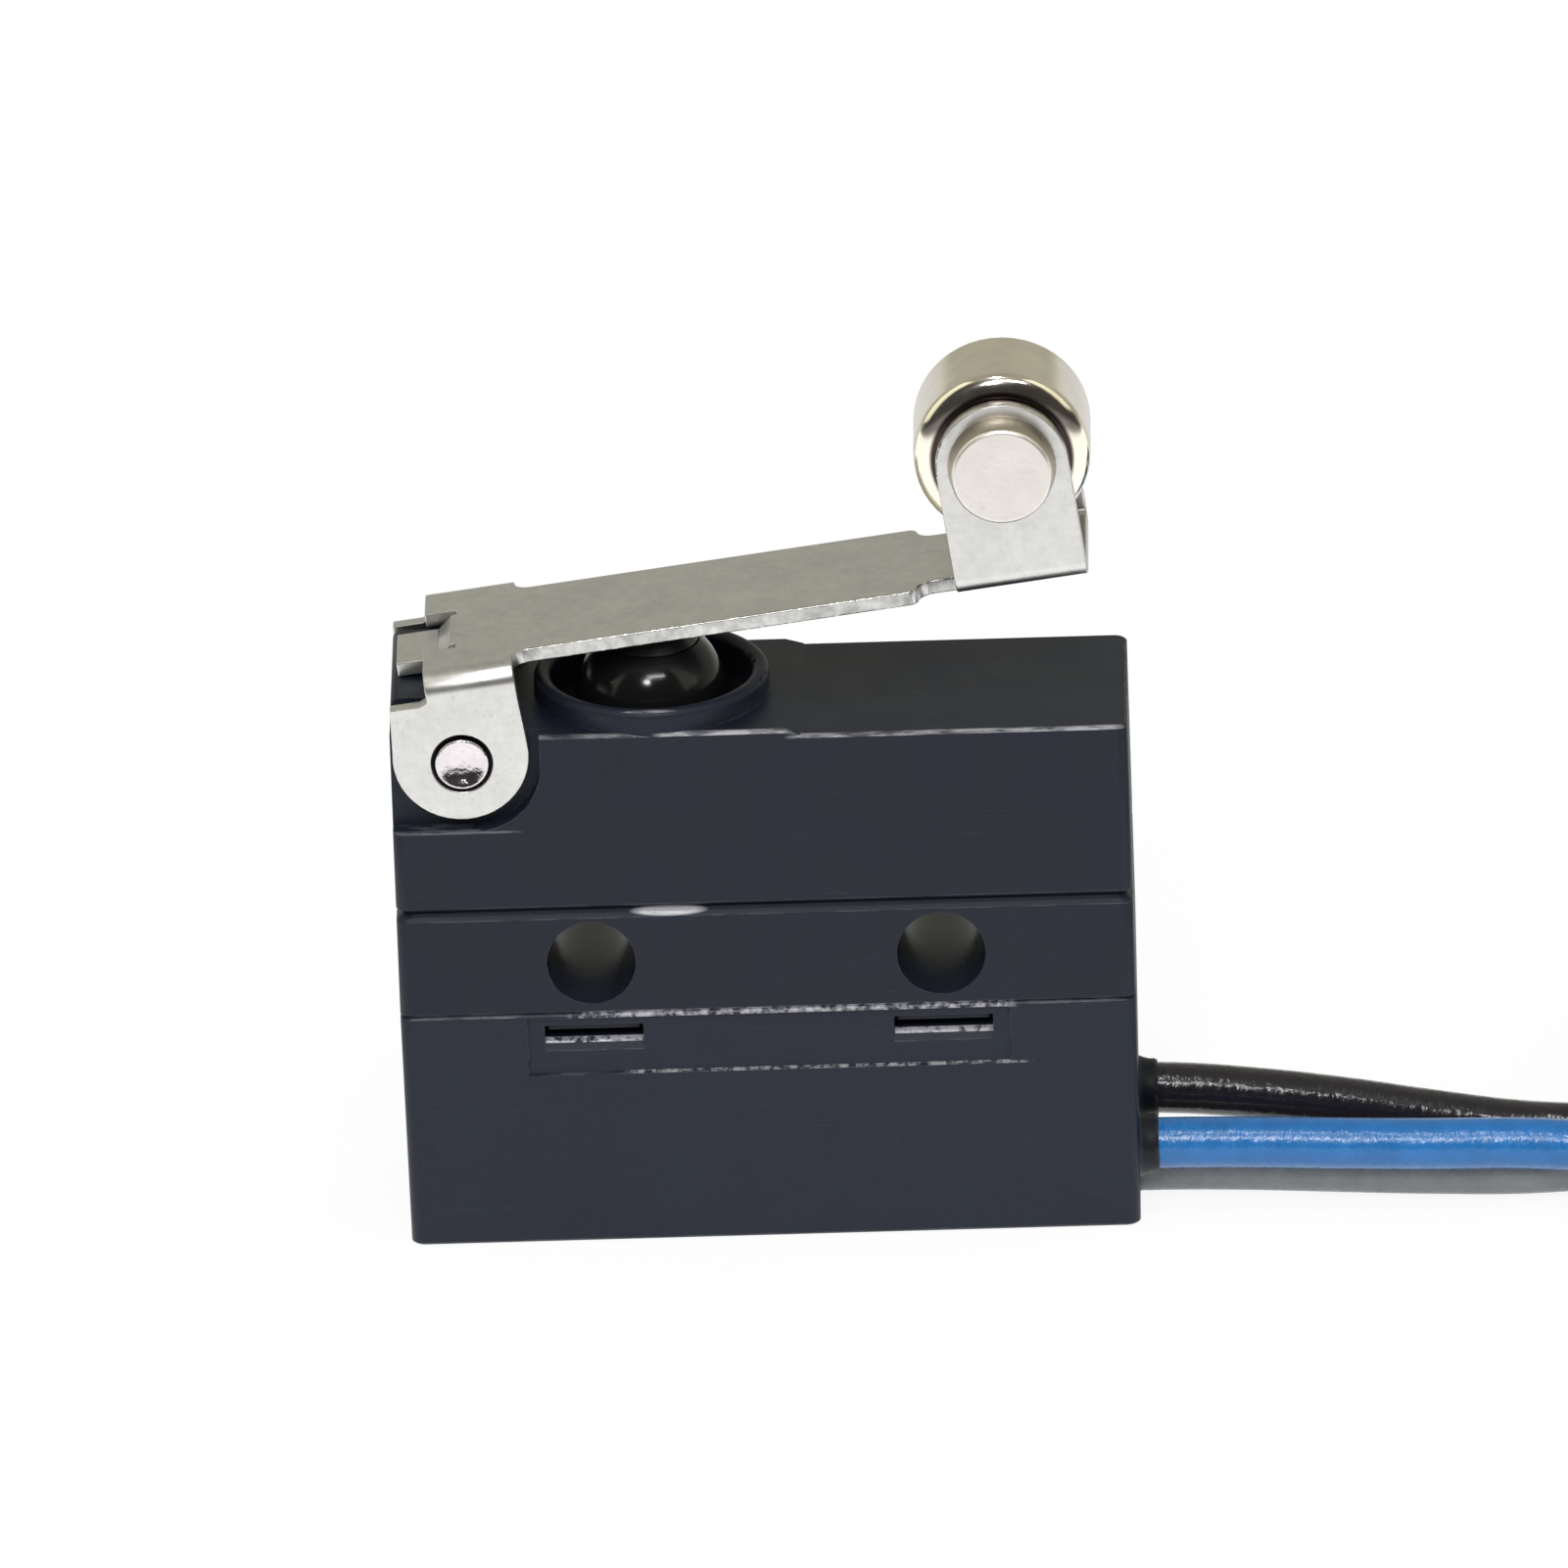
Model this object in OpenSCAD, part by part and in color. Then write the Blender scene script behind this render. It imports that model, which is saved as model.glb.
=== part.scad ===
// Sealed subminiature snap switch with a hinged roller lever and three side leads.
// X runs along the body, Y through its thickness and Z up. The origin is the centre of the bottom face.

/* [Body] */
// Length of the body
body_l = 20; // [19.6:0.1:22]
// Thickness of the body
body_t = 6.4; // [6.4:0.1:7.4]
// Height of the body up to the raised part of its roof
body_h = 15; // [14.6:0.1:18]
// Radius of the upright corners
corner_r = 0.3; // [0.1:0.05:0.5]
// Height of the bottom cap
cap_h = 6.8; // [6.4:0.1:8]
// How much narrower each side of the cap is at its foot
cap_draft = 0.07; // [0:0.01:0.15]
// Side wall of the bottom cap
cap_wall = 0.8; // [0.6:0.05:0.9]
// Floor of the bottom cap
cap_floor = 0.7; // [0.5:0.05:1]
// Height of the band that carries the mounting holes
band_h = 3.1; // [3:0.1:4]
// Chamfer round the top of the band
band_chamfer = 0.28; // [0.1:0.02:0.35]
// Chamfer on both sides of the seam between cap and band
seam_chamfer = 0.06; // [0.03:0.01:0.1]
// Length of the raised part of the roof
raised_l = 10.7; // [9.6:0.1:12]
// Drop from the raised part to the low part of the roof
roof_step = 0.17; // [0.05:0.01:0.3]
// Thickness of the roof under its low part
roof_t = 1; // [0.7:0.05:1.1]
// Side wall of the upper case
case_wall = 1; // [0.9:0.05:1.1]
// Clearance between moulded pieces that fit into each other
fit = 0.03; // [0.01:0.01:0.06]

/* [Mounting holes] */
// Diameter of the two mounting holes
hole_d = 2.4; // [2:0.05:2.5]
// Distance between the mounting holes
hole_pitch = 9.5; // [9:0.1:10]
// Height of the holes above the seam of the cap
hole_rise = 1.5; // [1.4:0.05:1.6]

/* [Latch] */
// Width of a latch window
window_w = 2.68; // [2:0.05:3]
// Height of a latch window
window_h = 0.75; // [0.6:0.05:0.9]
// Height of solid cap above a window
window_lip = 0.38; // [0.3:0.02:0.5]
// Depth of the shallow recess round the windows
recess_d = 0.1; // [0.05:0.01:0.15]
// Height of the sloped sill in the foot of a window
sill_h = 0.3; // [0.2:0.02:0.34]
// Height of the shallow recess
recess_h = 1.8; // [1.5:0.1:2]
// Lip left between the recess and the seam
recess_lip = 0.14; // [0.1:0.02:0.2]
// Half length of the shallow recess
recess_reach = 6.55; // [6.3:0.05:7]

/* [Lever] */
// Thickness of the sheet
sheet_t = 0.4; // [0.3:0.02:0.44]
// Outside radius of the folds
fold_r = 0.6; // [0.5:0.05:0.7]
// Free angle of the arm above the body
free_angle = 7.4; // [6.5:0.1:8]
// Pivot from the left end of the body
pivot_inset = 1.95; // [1.9:0.05:2.1]
// Pivot below the top of the upper case
pivot_drop = 0.75; // [0.7:0.05:0.85]
// Underside of the arm above the pivot
arm_rise = 2.26; // [2.2:0.02:2.5]
// Width of the arm
arm_w = 4.3; // [3.4:0.1:4.4]
// Length of the arm from the pivot to the neck
arm_l = 12.9; // [12:0.05:13.2]
// Width of the neck before the fork
neck_w = 3.2; // [2.6:0.1:3.4]
// Radius of the round ears
ear_r = 1.85; // [1.6:0.05:1.9]
// Centre of the round ears above the pivot
ear_lift = 0.2; // [0:0.05:0.3]
// Front edge of the ears' folds from the pivot
ear_front = 1.8; // [1.4:0.05:1.85]
// Gap between an ear and the body beside it
ear_gap = 0.1; // [0.06:0.01:0.14]
// Length of the stop tongue behind the pivot
tongue_l = 1.45; // [1.3:0.05:1.75]
// Width of the stop tongue
tongue_w = 2; // [1.6:0.1:2.4]
// Drop of the joggled stop tongue
tongue_drop = 0.35; // [0.2:0.05:0.4]
// Slit on each side of the stop tongue
tongue_slit = 0.28; // [0.2:0.02:0.4]

/* [Roller and pins] */
// Diameter of the roller
roller_d = 4.8; // [4:0.1:5]
// Width of the roller
roller_w = 3.2; // [2.8:0.1:3.4]
// How far the roller's rounded edges run in from its rim
crown_run = 0.85; // [0.4:0.05:0.95]
// Depth of the roller's rounded edges along its axis
crown_deep = 0.4; // [0.2:0.05:0.6]
// Roller axis along the arm from the pivot
roller_x = 15.76; // [15.5:0.02:16.2]
// Roller axis above the pivot, square to the arm
roller_z = 5.87; // [5.8:0.02:6.2]
// Side play of the roller in the fork
roller_play = 0.1; // [0.05:0.01:0.2]
// Radius of the fork cheeks' round tops
cheek_r = 1.8; // [1.6:0.05:1.9]
// Diameter of the lever's pivot pin
pin_d = 1.45; // [1.2:0.05:1.6]
// Depth of the dish in the pivot pin's ends
pin_dish = 0.18; // [0.1:0.02:0.3]
// Rounding of the pivot pin's ends
pin_round = 0.05; // [0.03:0.01:0.2]
// Radial gap between the pivot pin and the holes in the ears
pin_gap = 0.11; // [0.05:0.01:0.12]
// Diameter of the roller's rivet
rivet_d = 1.6; // [1.2:0.05:1.8]
// Diameter of the rivet's flat heads
rivet_head_d = 2.95; // [2.5:0.05:3.1]
// Thickness of a rivet head
rivet_head_t = 0.75; // [0.4:0.05:0.85]
// Taper of a rivet head towards its flat face
rivet_taper = 0.1; // [0:0.02:0.2]
// Radial clearance of pieces that turn or slide on each other
run_fit = 0.05; // [0.02:0.01:0.08]

/* [Plunger] */
// Plunger from the left end of the body
plunger_inset = 7.1; // [7:0.1:7.4]
// Diameter of the plunger
plunger_d = 2.6; // [2.2:0.1:2.8]
// Radius of the plunger's domed top
plunger_dome = 1.6; // [1.5:0.05:2]
// Height of the collar above the raised roof
collar_h = 0.65; // [0.4:0.05:0.75]
// Wall of the collar
collar_t = 0.45; // [0.35:0.05:0.55]
// Thickness of the rubber boot
boot_t = 0.25; // [0.15:0.05:0.3]
// Radius of the boot's dome
boot_r = 2.1; // [1.9:0.05:2.3]
// Height of the boot's neck above the raised roof
boot_h = 1.45; // [1.2:0.05:1.45]
// Depth of the boot's seat below the raised roof
boot_seat = 0.6; // [0.3:0.05:0.6]

/* [Contacts] */
// Thickness of the terminals
term_t = 0.4; // [0.3:0.05:0.5]
// Width of the terminals
term_w = 1.8; // [1.4:0.1:2]
// Thickness of the snap blade
blade_t = 0.12; // [0.08:0.02:0.16]
// Width of the snap blade
blade_w = 3; // [2.6:0.1:3.4]
// Length of the snap blade from its window to the contacts
blade_tail = 3; // [2.6:0.1:3.4]
// Contacts from the right end of the body
contact_inset = 3.6; // [3.4:0.1:3.8]
// Diameter of the contacts
contact_d = 1.6; // [1.2:0.1:1.8]
// Travel of the moving contact
contact_gap = 0.45; // [0.35:0.05:0.5]
// Common terminal from the left end of the body
com_inset = 2.4; // [2.2:0.1:2.8]
// Length of the common terminal's seat behind its leg
com_tail = 0.8; // [0.6:0.1:1]
// Normally closed terminal from the right end of the body
nc_inset = 1.7; // [1.5:0.1:2]
// Gap between the terminals' lower ends and the floor of the cap
leg_gap = 1.1; // [0.8:0.1:1.4]
// Rest clearance where a moving piece meets its stop
rest_gap = 0.04; // [0.02:0.01:0.06]

/* [Leads] */
// Outside diameter of a lead
wire_d = 1.4; // [1.2:0.05:1.4]
// Length of the moulded collar round each lead
exit_l = 0.48; // [0.3:0.02:0.6]
// Diameter of the moulded collar round each lead
exit_d = 1.6; // [1.56:0.02:1.8]

/* [Hidden] */
$fn = 64;

body_black = [0.20, 0.21, 0.24];
rubber_black = [0.12, 0.12, 0.13];
steel = [0.80, 0.79, 0.75];
roller_khaki = [0.66, 0.65, 0.55];
brass = [0.78, 0.66, 0.36];
silver = [0.86, 0.86, 0.86];

// Levels of the body
seam_z = cap_h;
case_z = seam_z + band_h;
top_z = body_h;
low_top_z = top_z - roof_step;
ceiling_z = low_top_z - roof_t;
hole_z = seam_z + hole_rise;
half_l = body_l / 2;
half_t = body_t / 2;
step_x = raised_l - half_l;
step_run = 0.5;

// Plug of the base and the latch
plug_h = 2.6;
plug_z = seam_z - plug_h;
plug_l = body_l - 2 * (cap_wall + fit);
plug_t = body_t - 2 * (cap_wall + fit);
window_z = seam_z - window_lip - window_h;
hook_out = 0.5;

// Pivot, ears and pockets
pivot_x = pivot_inset - half_l;
pivot_z = top_z - pivot_drop;
ear_out = half_t - 0.1;
ear_in = ear_out - sheet_t;
cheek_y = ear_in - ear_gap;
pocket_gap = 0.13;
pocket_z = pivot_z - ear_r - pocket_gap;
pocket_x = pivot_x + ear_r + 0.25;
saddle_r = 1.4;
ear_back = -0.65;
slit_end = 0.25;
stop_w = 2 * cheek_y - 0.5;
tongue_low = arm_rise - tongue_drop;
stop_z = pivot_z + tongue_low * cos(free_angle) - tongue_l * sin(free_angle) - rest_gap;

// Fork
fork_in = roller_w / 2 + roller_play;
fork_out = fork_in + sheet_t;
fork_fold = sheet_t + 0.1;
neck_half = min(neck_w / 2, fork_out - fork_fold - 0.02);
pin_l = 2 * (half_t - 0.02);

// Plunger, whose top stays just under the arm
plunger_x = plunger_inset - half_l;
plunger_arm = plunger_x - pivot_x;
dome_z = pivot_z + (arm_rise + plunger_arm * sin(free_angle) - plunger_dome - rest_gap) / cos(free_angle);
plunger_r = plunger_d / 2;
flange_r = plunger_r + 0.5;
flange_t = 0.5;
flange_z = ceiling_z - rest_gap - flange_t;
collar_r = half_t;
collar_in = collar_r - collar_t;

// Contact stack
blade_rise = 2;
blade_bow = 0.7;
blade_end = 1;
window_gap = 0.15;
tongue_gap = 0.1;
tongue_root = 0.1;
tongue_inset = 0.6;
blade_z = case_z + blade_rise;
tip_z = blade_z + blade_t / 2 + rest_gap + 0.05;
head_t = 0.45;
rivet_shank_d = 0.7;
contact_x = half_l - contact_inset;
moving_top = blade_z + blade_t / 2 + rest_gap + head_t;
moving_low = blade_z - blade_t / 2 - rest_gap - head_t;
nc_face = moving_top + rest_gap;
no_face = moving_low - contact_gap - rest_gap;
nc_t = 0.5;
no_arm_z = case_z;
com_x = com_inset - half_l;
nc_x = half_l - nc_inset;
leg_z = cap_floor + leg_gap;
com_setback = 2.1;
com_reach = plunger_x - com_setback;
window_end = contact_x - blade_tail;

// Where the leads leave the right end
blue_exit = [-2, 1.95];
grey_exit = [-1, 0.86];
black_exit = [0.5, 2.5];
exits = [blue_exit, grey_exit, black_exit];
collared = [blue_exit, black_exit];
lead_x = half_l - cap_wall;

// Routes of the leads from the cap to the hank
blue_route = [
    [lead_x, -2, 1.95], [10.8, -2, 1.95], [13, -2.1, 1.94], [15.5, -2.28, 1.91], [18, -2.42, 1.88],
    [20.5, -2.47, 1.84], [23, -2.55, 1.65], [25.5, -2.65, 1.4], [28, -2.7, 1.2], [30.2, -2.7, 1.08]
];
grey_route = [
    [lead_x, -1, 0.86], [10.8, -1, 0.86], [13, -1.1, 0.83], [15.5, -1.3, 0.78], [18, -1.5, 0.74],
    [20.5, -1.65, 0.74], [23, -1.5, 0.8], [25.5, -1.3, 0.92], [28, -1.25, 1.02]
];
black_route = [
    [lead_x, 0.5, 2.5], [10.8, 0.5, 2.48], [13, 0.53, 2.25], [15.5, 0.6, 1.85], [18, 0.75, 1.32],
    [20.5, 0.8, 0.9], [23, 0.6, 0.84], [25.5, 0.35, 0.92], [27.2, 0.2, 1]
];

// Hank of the leads: one ring of turns for each lead, outside to inside, standing on the ties
hank_x = 38.3;
hank_y = 4.4;
hank_run = 12;
hank_low = 0.35;
turn_rise = 1.5;
turn_gap = 1.45;
inner_turn_r = 4.2;
lead_turns = [4.05, 4.66, 5.5];
last_run = [3.4, 9.5, 0];
tie_w = 2.4;
tie_t = 0.3;
bare_d = 0.8;
bare_l = 5;

function turn_r(i) = inner_turn_r + (2 - i) * turn_gap;
function ring_h(i) = lead_turns[i] * turn_rise + wire_d;

// Direction of travel at point i of a route
function heading(p, i) = let (step = p[min(i + 1, len(p) - 1)] - p[max(i - 1, 0)]) step / norm(step);

// Ring of n points round point i of a route
function route_ring(p, i, r, n) =
    let (t = heading(p, i), side = cross(t, [0, 0, 1]), s = side / norm(side), u = cross(s, t))
    [for (k = [0 : n - 1]) p[i] + r * (cos(360 * k / n) * s + sin(360 * k / n) * u)];

// Round tube along a route
module tube(p, r, n = 8) {
    last = len(p) - 1;
    points = [for (i = [0 : last]) each route_ring(p, i, r, n)];
    near = [for (i = [0 : last - 1], k = [0 : n - 1]) [i * n + k, i * n + (k + 1) % n, (i + 1) * n + k]];
    far = [for (i = [0 : last - 1], k = [0 : n - 1])
        [i * n + (k + 1) % n, (i + 1) * n + (k + 1) % n, (i + 1) * n + k]];
    ends = [[for (k = [n - 1 : -1 : 0]) k], [for (k = [0 : n - 1]) last * n + k]];
    polyhedron(points, concat(near, far, ends), convexity = 6);
}

// Rectangle with round corners, centred
module round_rect(l, t, r) {
    offset(r = r, $fn = 32) square([l - 2 * r, t - 2 * r], center = true);
}

// Block from z0 to z1 with round upright corners, its foot and top edges chamfered and its foot narrower
module soft_block(l, t, z0, z1, r, foot, top, draft = 0) {
    hull() {
        translate([0, 0, z0]) linear_extrude(0.01)
            round_rect(l - 2 * (draft + foot), t - 2 * (draft + foot), r);
        translate([0, 0, z0 + foot]) linear_extrude(0.01) round_rect(l - 2 * draft, t - 2 * draft, r);
        translate([0, 0, z1 - top - 0.01]) linear_extrude(0.01) round_rect(l, t, r);
        translate([0, 0, z1 - 0.01]) linear_extrude(0.01) round_rect(l - 2 * top, t - 2 * top, r);
    }
}

// Extrusion along Y of an outline drawn in X and Z
module along_y(w) {
    rotate([90, 0, 0]) linear_extrude(w, center = true) children();
}

// Extrusion along X of an outline drawn in Y and Z
module along_x(l) {
    rotate([90, 0, 90]) linear_extrude(l) children();
}

// Cylinder along Y, centred
module rod_y(d, l) {
    rotate([90, 0, 0]) cylinder(d = d, h = l, center = true);
}

// Upright legs of the three terminals, widened by a clearance
module terminal_legs(grow) {
    for (x = [com_x, 0, nc_x])
        translate([x - term_t / 2 - grow, -term_w / 2 - grow, leg_z - grow])
            cube([term_t + 2 * grow, term_w + 2 * grow, case_z - leg_z + 2 * grow]);
}

module bottom_cap() {
    color(body_black) difference() {
        union() {
            soft_block(body_l, body_t, 0, seam_z, corner_r, 0.08, seam_chamfer, cap_draft);
            for (e = collared)
                translate([half_l - 0.2, e[0], e[1]]) rotate([0, 90, 0]) exit_collar();
        }
        translate([-half_l + cap_wall, -half_t + cap_wall, cap_floor])
            cube([body_l - 2 * cap_wall, body_t - 2 * cap_wall, cap_h]);
        for (x = [-1, 1] * hole_pitch / 2)
            translate([x - window_w / 2, 0, 0]) latch_window();
        for (side = [-1, 1])
            translate([-recess_reach, side * (half_t + 1 - recess_d) - 1, seam_z - recess_h])
                cube([2 * recess_reach, 2, recess_h - recess_lip]);
        for (e = exits)
            translate([0, e[0], e[1]]) rotate([0, 90, 0]) cylinder(d = wire_d + 2 * fit, h = body_l);
    }
}

// Moulded collar round a lead, flared at the cap and slightly rounded at its end
module exit_collar() {
    edge = 0.06;
    cylinder(d = exit_d, h = exit_l + 0.2 - edge);
    cylinder(d1 = exit_d, d2 = exit_d - edge, h = exit_l + 0.2);
    cylinder(d1 = exit_d + 0.3, d2 = exit_d, h = 0.45);
}

// Opening of a window through both walls, sloping down to the faces over its sills
module latch_window() {
    face = half_t - recess_d;
    sill_z = window_z + sill_h;
    translate([0, -body_t, sill_z]) cube([window_w, 2 * body_t, window_h - sill_h]);
    for (side = [0, 1])
        mirror([0, side, 0]) along_x(window_w)
            polygon([
                [face - sill_h, sill_z], [face + 0.3, window_z - 0.3],
                [face + 0.3, sill_z + 0.1], [face - sill_h, sill_z + 0.1]
            ]);
}

module base() {
    color(body_black) difference() {
        union() {
            soft_block(body_l, body_t, seam_z, case_z, corner_r, seam_chamfer, band_chamfer);
            translate([-plug_l / 2, -plug_t / 2, plug_z]) cube([plug_l, plug_t, plug_h + 0.5]);
            latch_hooks();
        }
        for (x = [-1, 1] * hole_pitch / 2)
            translate([x, 0, hole_z]) rod_y(hole_d, body_t + 2);
        terminal_legs(fit);
    }
}

// Ramped hooks on both faces of the plug, under the lip of each window
module latch_hooks() {
    root = plug_t / 2 - 0.2;
    tip = plug_t / 2 + hook_out;
    for (x = [-1, 1] * hole_pitch / 2, side = [0, 1])
        translate([x, 0, 0]) mirror([0, side, 0]) translate([-window_w / 2 + 0.1, 0, 0])
            along_x(window_w - 0.2)
                polygon([
                    [root, window_z + sill_h + 0.05], [plug_t / 2 + 0.05, window_z + sill_h + 0.05],
                    [tip, window_z + window_h - 0.2], [tip, window_z + window_h - fit],
                    [root, window_z + window_h - fit]
                ]);
}

module upper_case() {
    color(body_black) difference() {
        union() {
            soft_block(body_l, body_t, case_z, low_top_z, corner_r, 0.1, 0.06);
            raised_roof();
            translate([plunger_x, 0, 0]) collar();
            translate([pivot_x, 0, pivot_z]) rod_y(2 * saddle_r, 2 * cheek_y);
            along_y(stop_w) offset(r = 0.25, $fn = 32) offset(delta = -0.25)
                translate([-half_l + 0.05, pivot_z - 0.5]) square([pivot_inset, stop_z - pivot_z + 0.5]);
        }
        case_cavity();
        for (side = [-1, 1])
            translate([0, side * (cheek_y + half_t), 0]) ear_pocket();
        translate([pivot_x, 0, pivot_z]) rod_y(pin_d, body_t + 2);
        translate([plunger_x, 0, case_z]) cylinder(r = plunger_r + run_fit, h = body_h);
        translate([plunger_x, 0, top_z - boot_seat]) cylinder(r = collar_in, h = body_h);
    }
}

// Raised left part of the roof, with a short slope at its right end
module raised_roof() {
    edge = 0.07;
    hull() {
        translate([-half_l, -half_t, low_top_z - 0.2]) cube([half_l + step_x + step_run, body_t, 0.2]);
        translate([-half_l, -half_t, low_top_z - 0.2])
            cube([half_l + step_x, body_t, roof_step + 0.2 - edge]);
        translate([-half_l + edge, -half_t + edge, low_top_z])
            cube([half_l + step_x - edge, body_t - 2 * edge, roof_step]);
    }
}

// Round collar with a rounded rim, as wide as the body
module collar() {
    round_r = collar_t / 2;
    low_z = ceiling_z + 0.5;
    rim_z = top_z + collar_h - round_r;
    rotate_extrude($fn = 96) union() {
        translate([collar_in, low_z]) square([collar_t, rim_z - low_z]);
        translate([collar_in + round_r, rim_z]) circle(r = round_r, $fn = 24);
        translate([0, low_z]) square([collar_in + 0.1, top_z - low_z]);
    }
}

// Room for the contacts: low under the pivot, full height to the right of it
module case_cavity() {
    inner_t = body_t - 2 * case_wall;
    low_h = blade_z + 0.3 - case_z;
    wide_x = com_reach - 0.2;
    translate([-half_l + case_wall, -inner_t / 2, case_z - 1])
        cube([body_l - 2 * case_wall, inner_t, low_h + 1]);
    translate([wide_x, -inner_t / 2, case_z])
        cube([half_l - case_wall - wide_x, inner_t, ceiling_z - case_z]);
}

// Pocket beside the body for one ear of the lever
module ear_pocket() {
    round_r = ear_r;
    along_y(body_t) offset(r = round_r) offset(delta = -round_r)
        translate([-body_l, pocket_z]) square([body_l + pocket_x, body_h]);
}

module lever_pin() {
    rim_x = pin_d / 2 - pin_round;
    dish_r = rim_x - 0.02;
    ball_r = (dish_r * dish_r + pin_dish * pin_dish) / (2 * pin_dish);
    ball_y = pin_l / 2 - pin_dish + ball_r;
    dish = [for (k = [0 : 8]) let (r = dish_r * k / 8) [r, ball_y - sqrt(ball_r * ball_r - r * r)]];
    rim = [for (a = [0 : 15 : 90]) [rim_x + pin_round * sin(a), pin_l / 2 - pin_round + pin_round * cos(a)]];
    end = concat(dish, rim);
    foot = [for (k = [len(end) - 1 : -1 : 0]) [end[k][0], -end[k][1]]];
    color(steel) translate([pivot_x, 0, pivot_z]) rotate([90, 0, 0])
        rotate_extrude() polygon(concat(end, foot));
}

// Places its children in the frame of the lever at its free angle
module on_lever() {
    translate([pivot_x, 0, pivot_z]) rotate([0, -free_angle, 0]) children();
}

// Flat top with two round shoulders, from the top edge at zero down to -deep
module arch(half_w, deep, r) {
    translate([-half_w, -deep]) square([2 * half_w, deep - r]);
    translate([-half_w + r, -deep]) square([2 * (half_w - r), deep]);
    for (side = [-1, 1])
        translate([side * (half_w - r), -r]) circle(r = r, $fn = 48);
}

// Section of the sheet folded down on both sides, its top edge at zero
module folded(half_w, deep, r) {
    difference() {
        arch(half_w, deep, r);
        translate([0, -sheet_t]) arch(half_w - sheet_t, deep, r - sheet_t);
    }
}

// Side outline of the ears: a round end on the pivot, a shoulder behind and the fold above
module ear_outline() {
    arm_top = arm_rise + sheet_t;
    difference() {
        union() {
            translate([0, ear_lift]) circle(r = ear_r);
            polygon([
                [-ear_r, ear_lift], [0.17 - ear_r, arm_rise - 0.42], [ear_back, arm_rise - 0.42],
                [ear_back, arm_top], [ear_front, arm_top], [ear_front, arm_rise - 0.6], [ear_r, ear_lift]
            ]);
        }
        circle(d = pin_d + 2 * pin_gap);
    }
}

// Side outline of the fork cheeks: a round top on the roller axis
module cheek_outline() {
    difference() {
        union() {
            translate([roller_x, roller_z]) circle(r = cheek_r);
            translate([roller_x - cheek_r, arm_rise]) square([2 * cheek_r, roller_z - arm_rise]);
        }
        translate([roller_x, roller_z]) circle(d = rivet_d);
    }
}

// Arm, neck and floor of the fork, in plan
module arm_outline() {
    fork_x = roller_x - cheek_r;
    $fn = 32;
    offset(r = 0.25) offset(delta = -0.25) offset(r = -0.45) offset(delta = 0.45) union() {
        translate([ear_front - 1, -arm_w / 2]) square([arm_l - ear_front + 1, arm_w]);
        translate([arm_l - 0.5, -neck_half]) square([fork_x - arm_l + 1, 2 * neck_half]);
        translate([ear_front - 1.5, -ear_out + fold_r]) square([1.5, 2 * (ear_out - fold_r)]);
    }
}

module lever() {
    arm_top = arm_rise + sheet_t;
    color(steel) on_lever() {
        difference() {
            intersection() {
                translate([-ear_r - 1, 0, arm_top]) along_x(2 * ear_r + 2) folded(ear_out, 3 * ear_r, fold_r);
                along_y(2 * body_t) ear_outline();
            }
            translate([ear_back - ear_r, -tongue_w / 2 - tongue_slit, arm_rise - sheet_t])
                cube([slit_end - ear_back + ear_r, tongue_w + 2 * tongue_slit, 3 * sheet_t]);
        }
        translate([0, 0, arm_rise]) linear_extrude(sheet_t) arm_outline();
        along_y(tongue_w) polygon([
            [slit_end + 0.1, arm_top], [slit_end - 0.15, arm_top], [slit_end - 0.55, arm_top - tongue_drop],
            [-tongue_l, arm_top - tongue_drop], [-tongue_l, tongue_low], [slit_end - 0.5, tongue_low],
            [slit_end - 0.1, arm_rise], [slit_end + 0.1, arm_rise]
        ]);
        intersection() {
            translate([roller_x - 2 * cheek_r, 0, arm_rise]) along_x(4 * cheek_r)
                mirror([0, 1]) folded(fork_out, roller_z - arm_rise + 2 * cheek_r, fork_fold);
            along_y(2 * body_t) cheek_outline();
        }
    }
}

module roller() {
    bore_r = rivet_d / 2 + run_fit;
    hub = [roller_d / 2 - crown_run, roller_w / 2 - crown_deep];
    crown = [for (a = [0 : 7.5 : 90]) hub + [crown_run * sin(a), crown_deep * cos(a)]];
    half = concat([[bore_r, roller_w / 2]], crown);
    back = [for (k = [len(half) - 1 : -1 : 0]) [half[k][0], -half[k][1]]];
    color(roller_khaki) on_lever() translate([roller_x, 0, roller_z]) rotate([90, 0, 0])
        rotate_extrude($fn = 96) polygon(concat(half, back));
}

module roller_pin() {
    color(steel) on_lever() translate([roller_x, 0, roller_z]) {
        rod_y(rivet_d, 2 * fork_out + 0.1);
        for (side = [-90, 90])
            rotate([side, 0, 0]) translate([0, 0, fork_out]) rivet_head();
    }
}

// Flat head of the rivet, narrower at its face, its back at zero
module rivet_head() {
    face_r = rivet_head_d / 2 - rivet_taper;
    edge = 0.08;
    rotate_extrude() polygon([
        [0, 0], [rivet_head_d / 2, 0], [face_r, rivet_head_t - edge], [face_r - edge, rivet_head_t],
        [0, rivet_head_t]
    ]);
}

module plunger() {
    foot_r = plunger_r - 0.3;
    edge_a = acos(plunger_r / plunger_dome);
    dome = [for (a = [edge_a : 6 : 89]) [plunger_dome * cos(a), dome_z + plunger_dome * sin(a)]];
    color(rubber_black) translate([plunger_x, 0, 0]) rotate_extrude() polygon(concat(
        [[0, tip_z], [foot_r - 0.3, tip_z], [foot_r, tip_z + 0.3], [foot_r, flange_z], [flange_r, flange_z],
            [flange_r, flange_z + flange_t], [plunger_r, flange_z + flange_t]],
        dome,
        [[0, dome_z + plunger_dome]]
    ));
}

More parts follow.
